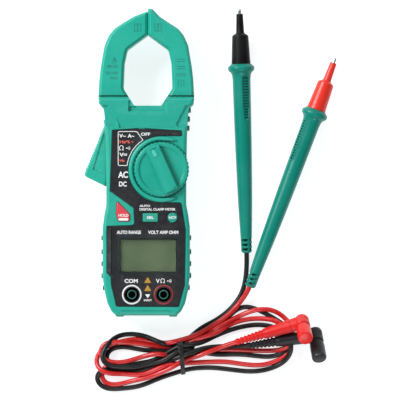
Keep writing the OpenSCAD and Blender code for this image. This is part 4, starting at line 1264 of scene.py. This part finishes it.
leads = {
    "black": {"tip": (55.3, 116.2, 9.6), "turn": 1.72, "tilt": 2.4, "roll": 28, "nose": "noseBlack"},
    "red": {"tip": (113.6, 86.3, 8.6), "turn": -20.5, "tilt": 0.8, "roll": -38, "nose": "noseRed"},
}


def makeProbe(side):
    lead = leads[side]
    at = laid(*lead["tip"], ("Z", lead["turn"]), ("X", lead["tilt"]), ("X", -90)) @ Matrix.Translation(
        (0, 0, -probe["length"]))
    grip = at @ Matrix.Rotation(math.radians(lead["roll"]), 4, "Z")
    handle = turned(side + "Handle", probe["handle"], "handleTeal", (0, 0), 80, 35, at)
    cut = [turned("cordHole", [(0, -1), (1.6, -1), (1.6, 8), (0, 8)], "handleTeal", (0, 0), 32, 35, at)]
    # a tongue-shaped thumb rest, then fine grooves across it
    tongue = [(-2.6, 107.5), (2.6, 107.5), (2.7, 96), (2.3, 88), (1.3, 82), (0, 79.5), (-1.3, 82), (-2.3, 88),
              (-2.7, 96)]
    lie = grip @ Matrix.Rotation(math.radians(90), 4, "X")
    levels = [(4.75, 0.3), (5.1, 0), (9, -0.6)]
    cut.append(layered("tongue", roundCorners(tongue, 2.0), levels, "handleTeal", place=lie))
    handle = combine(handle, cut, "DIFFERENCE", 35)
    cut = []
    for k in range(probe["grooves"]):
        s = 106 - 1.7 * k
        wide = 2.15 if s > 88 else 1.5
        outline = roundCorners([(-wide, s - 0.42), (wide, s - 0.42), (wide, s + 0.42), (-wide, s + 0.42)],
                               0.3)
        cut.append(layered("groove", outline, [(3.9, 0), (9, 0)], "handleTeal", place=lie))
    for k in range(probe["tailSlots"]):
        for across in (-1, 1):
            s = 1.5 + 2.8 * k
            near, far = across * 0.45, across * 4
            outline = counterClockwise([(near, s), (far, s), (far, s + 1.5), (near, s + 1.5)])
            cut.append(layered("slot", outline, [(0.3, 0), (9, 0)], "handleTeal", place=lie))
    handle = combine(handle, cut, "DIFFERENCE", 35)
    ridesOn(handle, "test_leads", side + "_probe_handle")
    nose = turned(side + "Nose", probe["sleeve"], lead["nose"], (0, 0), 72, 35, at)
    ridesOn(nose, "test_leads", side + "_probe_nose")
    needle = turned(side + "Needle", probe["needle"], "nickel", (0, 0), 40, 35, at)
    ridesOn(needle, "test_leads", side + "_probe_needle")


plugs = {
    "red": {"at": (53.2, -86.3, 7.4), "turns": (("Z", 16.8), ("Y", -4), ("X", 30)), "body": "plugRed",
            "cap": "capRed"},
    "black": {"at": (59.9, -88.6, 6.2), "turns": (("Z", 8.7), ("X", 48)), "body": "plugBlack",
              "cap": "capBlack"},
    "ribs": 7, "elbow": 42.0, "seam": 34.6,
}


def makePlug(side):
    plug = plugs[side]
    at = laid(*plug["at"], *plug["turns"])
    flat = at @ Matrix.Rotation(math.radians(90), 4, "Y")
    # strain relief: rings that grow towards the body
    profile = [(0, 0), (1.75, 0), (2.0, 0.3)]
    for k in range(plugs["ribs"]):
        s = 1.0 + 2.35 * k
        r = 2.05 + 0.14 * k
        profile += [(r, s), (r, s + 1.1), (r - 0.42, s + 1.35), (r - 0.42, s + 2.1)]
    profile += [(3.1, 17.6), (3.2, 19.2), (0, 19.2)]
    boot = turned(side + "Boot", profile, plug["body"], (0, 0), 64, 30, flat)
    ridesOn(boot, "test_leads", side + "_plug_boot")
    profile = [(0, 19.1), (3.2, 19.1), (3.45, 19.6), (3.6, 24), (3.95, 31), (4.3, 37.5), (4.4, 42),
               (4.2, 44.2), (3.5, 45.6), (2.2, 46.3), (0, 46.4)]
    body = turned("body", profile, plug["body"], (0, 0), 10, 20, flat)
    body = roundEdges(body, 0.5, 3, 20, 40)
    # the elbow turns the plug down into its shroud
    end = (plugs["elbow"], 0)
    profile = [(0, -4.2), (2.6, -4.2), (3.9, -3.6), (4.4, -2.4), (4.45, 5.2), (4.2, 5.5), (0, 5.5)]
    elbow = turned("elbow", profile, plug["body"], end, 64, 35, at)
    body = combine(body, [elbow], "UNION", 35)
    s = plugs["seam"]
    profile = [(3.3, s), (7, s), (7, s + 0.35), (3.3, s + 0.35)]
    seam = turned("seam", profile, plug["body"], (0, 0), 48, 35, flat)
    body = combine(body, [seam], "DIFFERENCE", 35)
    body.name = side + "PlugBody"
    ridesOn(body, "test_leads", side + "_plug_body")
    profile = [(0, 5.55), (3.9, 5.55), (3.95, 6.0), (3.95, 16.9), (3.75, 17.5), (3.2, 17.55), (3.1, 17.2),
               (3.1, 7.2), (0, 7.2)]
    shroud = turned(side + "Shroud", profile, plug["body"], end, 72, 35, at)
    ridesOn(shroud, "test_leads", side + "_plug_shroud")
    profile = [(0, 6.6), (1.9, 6.6), (1.9, 16.0), (1.5, 16.8), (0, 16.9)]
    pin = turned(side + "Pin", profile, "nickel", end, 48, 35, at)
    ridesOn(pin, "test_leads", side + "_plug_pin")
    profile = [(3.98, 8.1), (4.45, 8.1), (4.5, 8.6), (4.5, 17.4), (4.2, 18.2), (3.5, 18.6), (0, 18.6),
               (0, 17.6), (3.98, 17.6)]
    cap = turned(side + "Cap", profile, plug["cap"], end, 72, 35, at)
    ridesOn(cap, "test_leads", side + "_plug_cap")
    return [boot, body, shroud, pin, cap]


tie = {"centre": (20.3, -95.3), "turn": 12.0, "half": 10.4, "width": 2.6, "thick": 0.8, "low": 0.45,
       "high": 8.6}


def makeTie():
    # a flat band round the bundle, with its ends twisted together on top
    at = laid(*tie["centre"], 0, ("Z", tie["turn"]))
    path = []
    for k in range(48):
        a = 2 * math.pi * k / 48
        y = tie["half"] * abs(math.cos(a)) ** 0.55 * (1 if math.cos(a) > 0 else -1)
        bulge = abs(math.sin(a)) ** 0.7 * (1 if math.sin(a) > 0 else -1)
        z = (tie["high"] + tie["low"]) / 2 + (tie["high"] - tie["low"]) / 2 * bulge
        path.append(Vector((0, y, z)))
    verts, faces = [], []
    count = len(path)
    for i, p in enumerate(path):
        out = (path[(i + 1) % count] - path[i - 1]).normalized().cross(Vector((1, 0, 0)))
        skew = p.y * 0.12
        for side, lift in ((-0.5, 0), (0.5, 0), (0.5, 1), (-0.5, 1)):
            q = p + out * tie["thick"] * (lift - 0.5)
            verts.append((side * tie["width"] + skew, q.y, q.z))
    for i in range(count):
        j = (i + 1) % count
        for k in range(4):
            faces.append((4 * i + k, 4 * i + (k + 1) % 4, 4 * j + (k + 1) % 4, 4 * j + k))
    band = toObject("band", verts, faces, "tieBlack", 40, at)
    twist = []
    for turn in (0, math.pi):
        rows = []
        for t in np.linspace(0, 1, 28):
            a = turn + t * 9
            rows.append(Vector((0.8 * math.cos(a), 1.5 + t * 7, 9.3 + 0.35 * math.sin(a) - t * 0.9)))
        twist.append(tubeMesh("strand", rows, 0.55, "tieBlack", at))
    return ridesOn(joined("twistTie", [band] + twist), "test_leads", "hank_tie")


def tubeMesh(name, path, radius, finish, place=None, sides=12):
    verts, faces = [], []
    for i, p in enumerate(path):
        ahead = (path[min(i + 1, len(path) - 1)] - path[max(i - 1, 0)]).normalized()
        across = ahead.cross(Vector((0, 0, 1))).normalized()
        up = across.cross(ahead)
        for k in range(sides):
            a = 2 * math.pi * k / sides
            verts.append(p + (across * math.cos(a) + up * math.sin(a)) * radius)
    for i in range(len(path) - 1):
        for k in range(sides):
            j = (k + 1) % sides
            faces.append((i * sides + k, i * sides + j, (i + 1) * sides + j, (i + 1) * sides + k))
    faces.append(tuple(range(sides)))
    faces.append(tuple((len(path) - 1) * sides + k for k in range(sides)))
    return toObject(name, verts, faces, finish, 40, place)


# display and inner finishes

def lcdFinish():
    f = Finish("lcdOlive")
    where = f.place()
    cloud = f.noise(0.06, 2, where=where)
    base = f.mix(f.grey(cloud, 0.35, 0.65), tint(112, 134, 98), tint(130, 148, 112))
    # ghost of the switched-off segments
    rows = (f.axis(where, "Y") * 3.6).wave() * (f.axis(where, "X") * 3.6).wave()
    base = f.mix(f.grey(rows, 0.55, 0.8) * 0.04, base, tint(60, 74, 56))
    rough = f.grey(f.noise(1.5, 4, where=where), 0.3, 0.7, 0.28, 0.4)
    f.set(Base_Color=base, Roughness=rough, Normal=f.bump(f.noise(8, 2, where=where), 0.00001, 0.2))
    return f.material


def lensFinish():
    f = Finish("lensClear")
    smear = f.noise(0.25, 5, 0.6)
    f.set(Base_Color=(0.96, 1.0, 0.96, 1), Roughness=f.grey(smear, 0.4, 0.75, 0.03, 0.12), IOR=1.46)
    f.set(Transmission_Weight=1.0, Normal=f.bump(f.noise(0.4, 2), 0.00001, 0.1))
    f.material.use_screen_refraction = True
    return f.material


finishes["lcdOlive"] = lcdFinish()
finishes["lensClear"] = lensFinish()
# nickel tinted teal: the teal is a painted reflection of the case
finishes["socketTealReflection"] = brightMetal("socketTealReflection", tint(120, 196, 186), 0.3)
# darker teal for the jaw marks: painted shade
finishes["markShadeTeal"] = mouldedPlastic("markShadeTeal", tint(14, 138, 120), 0.45, wear=0.1)
finishes["inkPale"] = printedInk("inkPale", tint(84, 196, 178))
finishes["boardGreen"] = mouldedPlastic("boardGreen", tint(22, 92, 58), 0.35, wear=0.05, dust=0.05)
finishes["padGrey"] = softRubber("padGrey", tint(198, 198, 192), 0.6)
finishes["diffuser"] = mouldedPlastic("diffuser", tint(232, 234, 232), 0.4, wear=0.0)
finishes["cellWrap"] = mouldedPlastic("cellWrap", tint(52, 56, 64), 0.3, wear=0.1, coat=0.4)

inside = {
    "circuit_board": "boardGreen", "meter_chip": "wellBlack", "button_pad": "padGrey",
    "lcd_backlight": "diffuser",
    "dial_rotor": "diffuser", "dial_contacts": "brass", "fixed_core": "steel", "moving_core": "steel",
    "fixed_coil": "copper", "moving_coil": "copper", "pivot_pin": "steel", "jaw_spring": "steel",
    "batteries": "cellWrap", "battery_contacts": "nickel",
}
for node, finish in inside.items():
    nodes[node].data.materials.clear()
    nodes[node].data.materials.append(finishes[finish])

makeFrontShell()
makeRearShell()
makeGripRibs()
makeBatteryCover()
makeScrews()
print("case is built")
for side in ("moving", "fixed"):
    makeJaw(side)
    makeJawMarks(side)
makeTrigger()
print("jaws are built")
makePlate()
makePrint()
makeDisplay()
makeButtons()
makeJack(0, "ringWhite")
makeJack(1, "ringRed")
makeKnob()
print("face and dial are built")
for side in ("black", "red"):
    makeProbe(side)
    makePlug(side)
makeTie()
redCord = makeCord("redCord", redLine, "jacketRed", "test_leads", ["red_probe_cord", "red_plug_cord"])
blackCord = makeCord("blackCord", blackLine, "jacketBlack", "test_leads",
                     ["black_probe_cord", "black_plug_cord", "lead_hank"])
print("leads are laid")


# the table

table = {"reach": 3.0, "drop": 0.0001, "glow": 0.8, "dark": 0.42, "light": 0.46}


def makeFloor():
    f = Finish("paleTable")
    cloud = f.noise(0.02, 3)
    dark = (table["dark"], table["dark"] + 0.005, table["dark"] + 0.01, 1)
    light = (table["light"], table["light"], table["light"], 1)
    f.set(Base_Color=f.ramp(cloud, (0.3, dark), (0.7, light)), Roughness=0.75)
    f.set(Emission_Color=(0.97, 0.985, 1.0, 1), Emission_Strength=table["glow"], Specular_IOR_Level=0.2)
    f.set(Normal=f.bump(f.noise(3.0, 4), 0.00002, 0.2))
    mesh = bpy.data.meshes.new("table")
    r = table["reach"]
    mesh.from_pydata([(-r, -r, 0), (r, -r, 0), (r, r, 0), (-r, r, 0)], [], [(0, 1, 2, 3)])
    floor = bpy.data.objects.new("table", mesh)
    floor.location.z = -table["drop"]
    mesh.materials.append(f.material)
    scene.collection.objects.link(floor)


makeFloor()
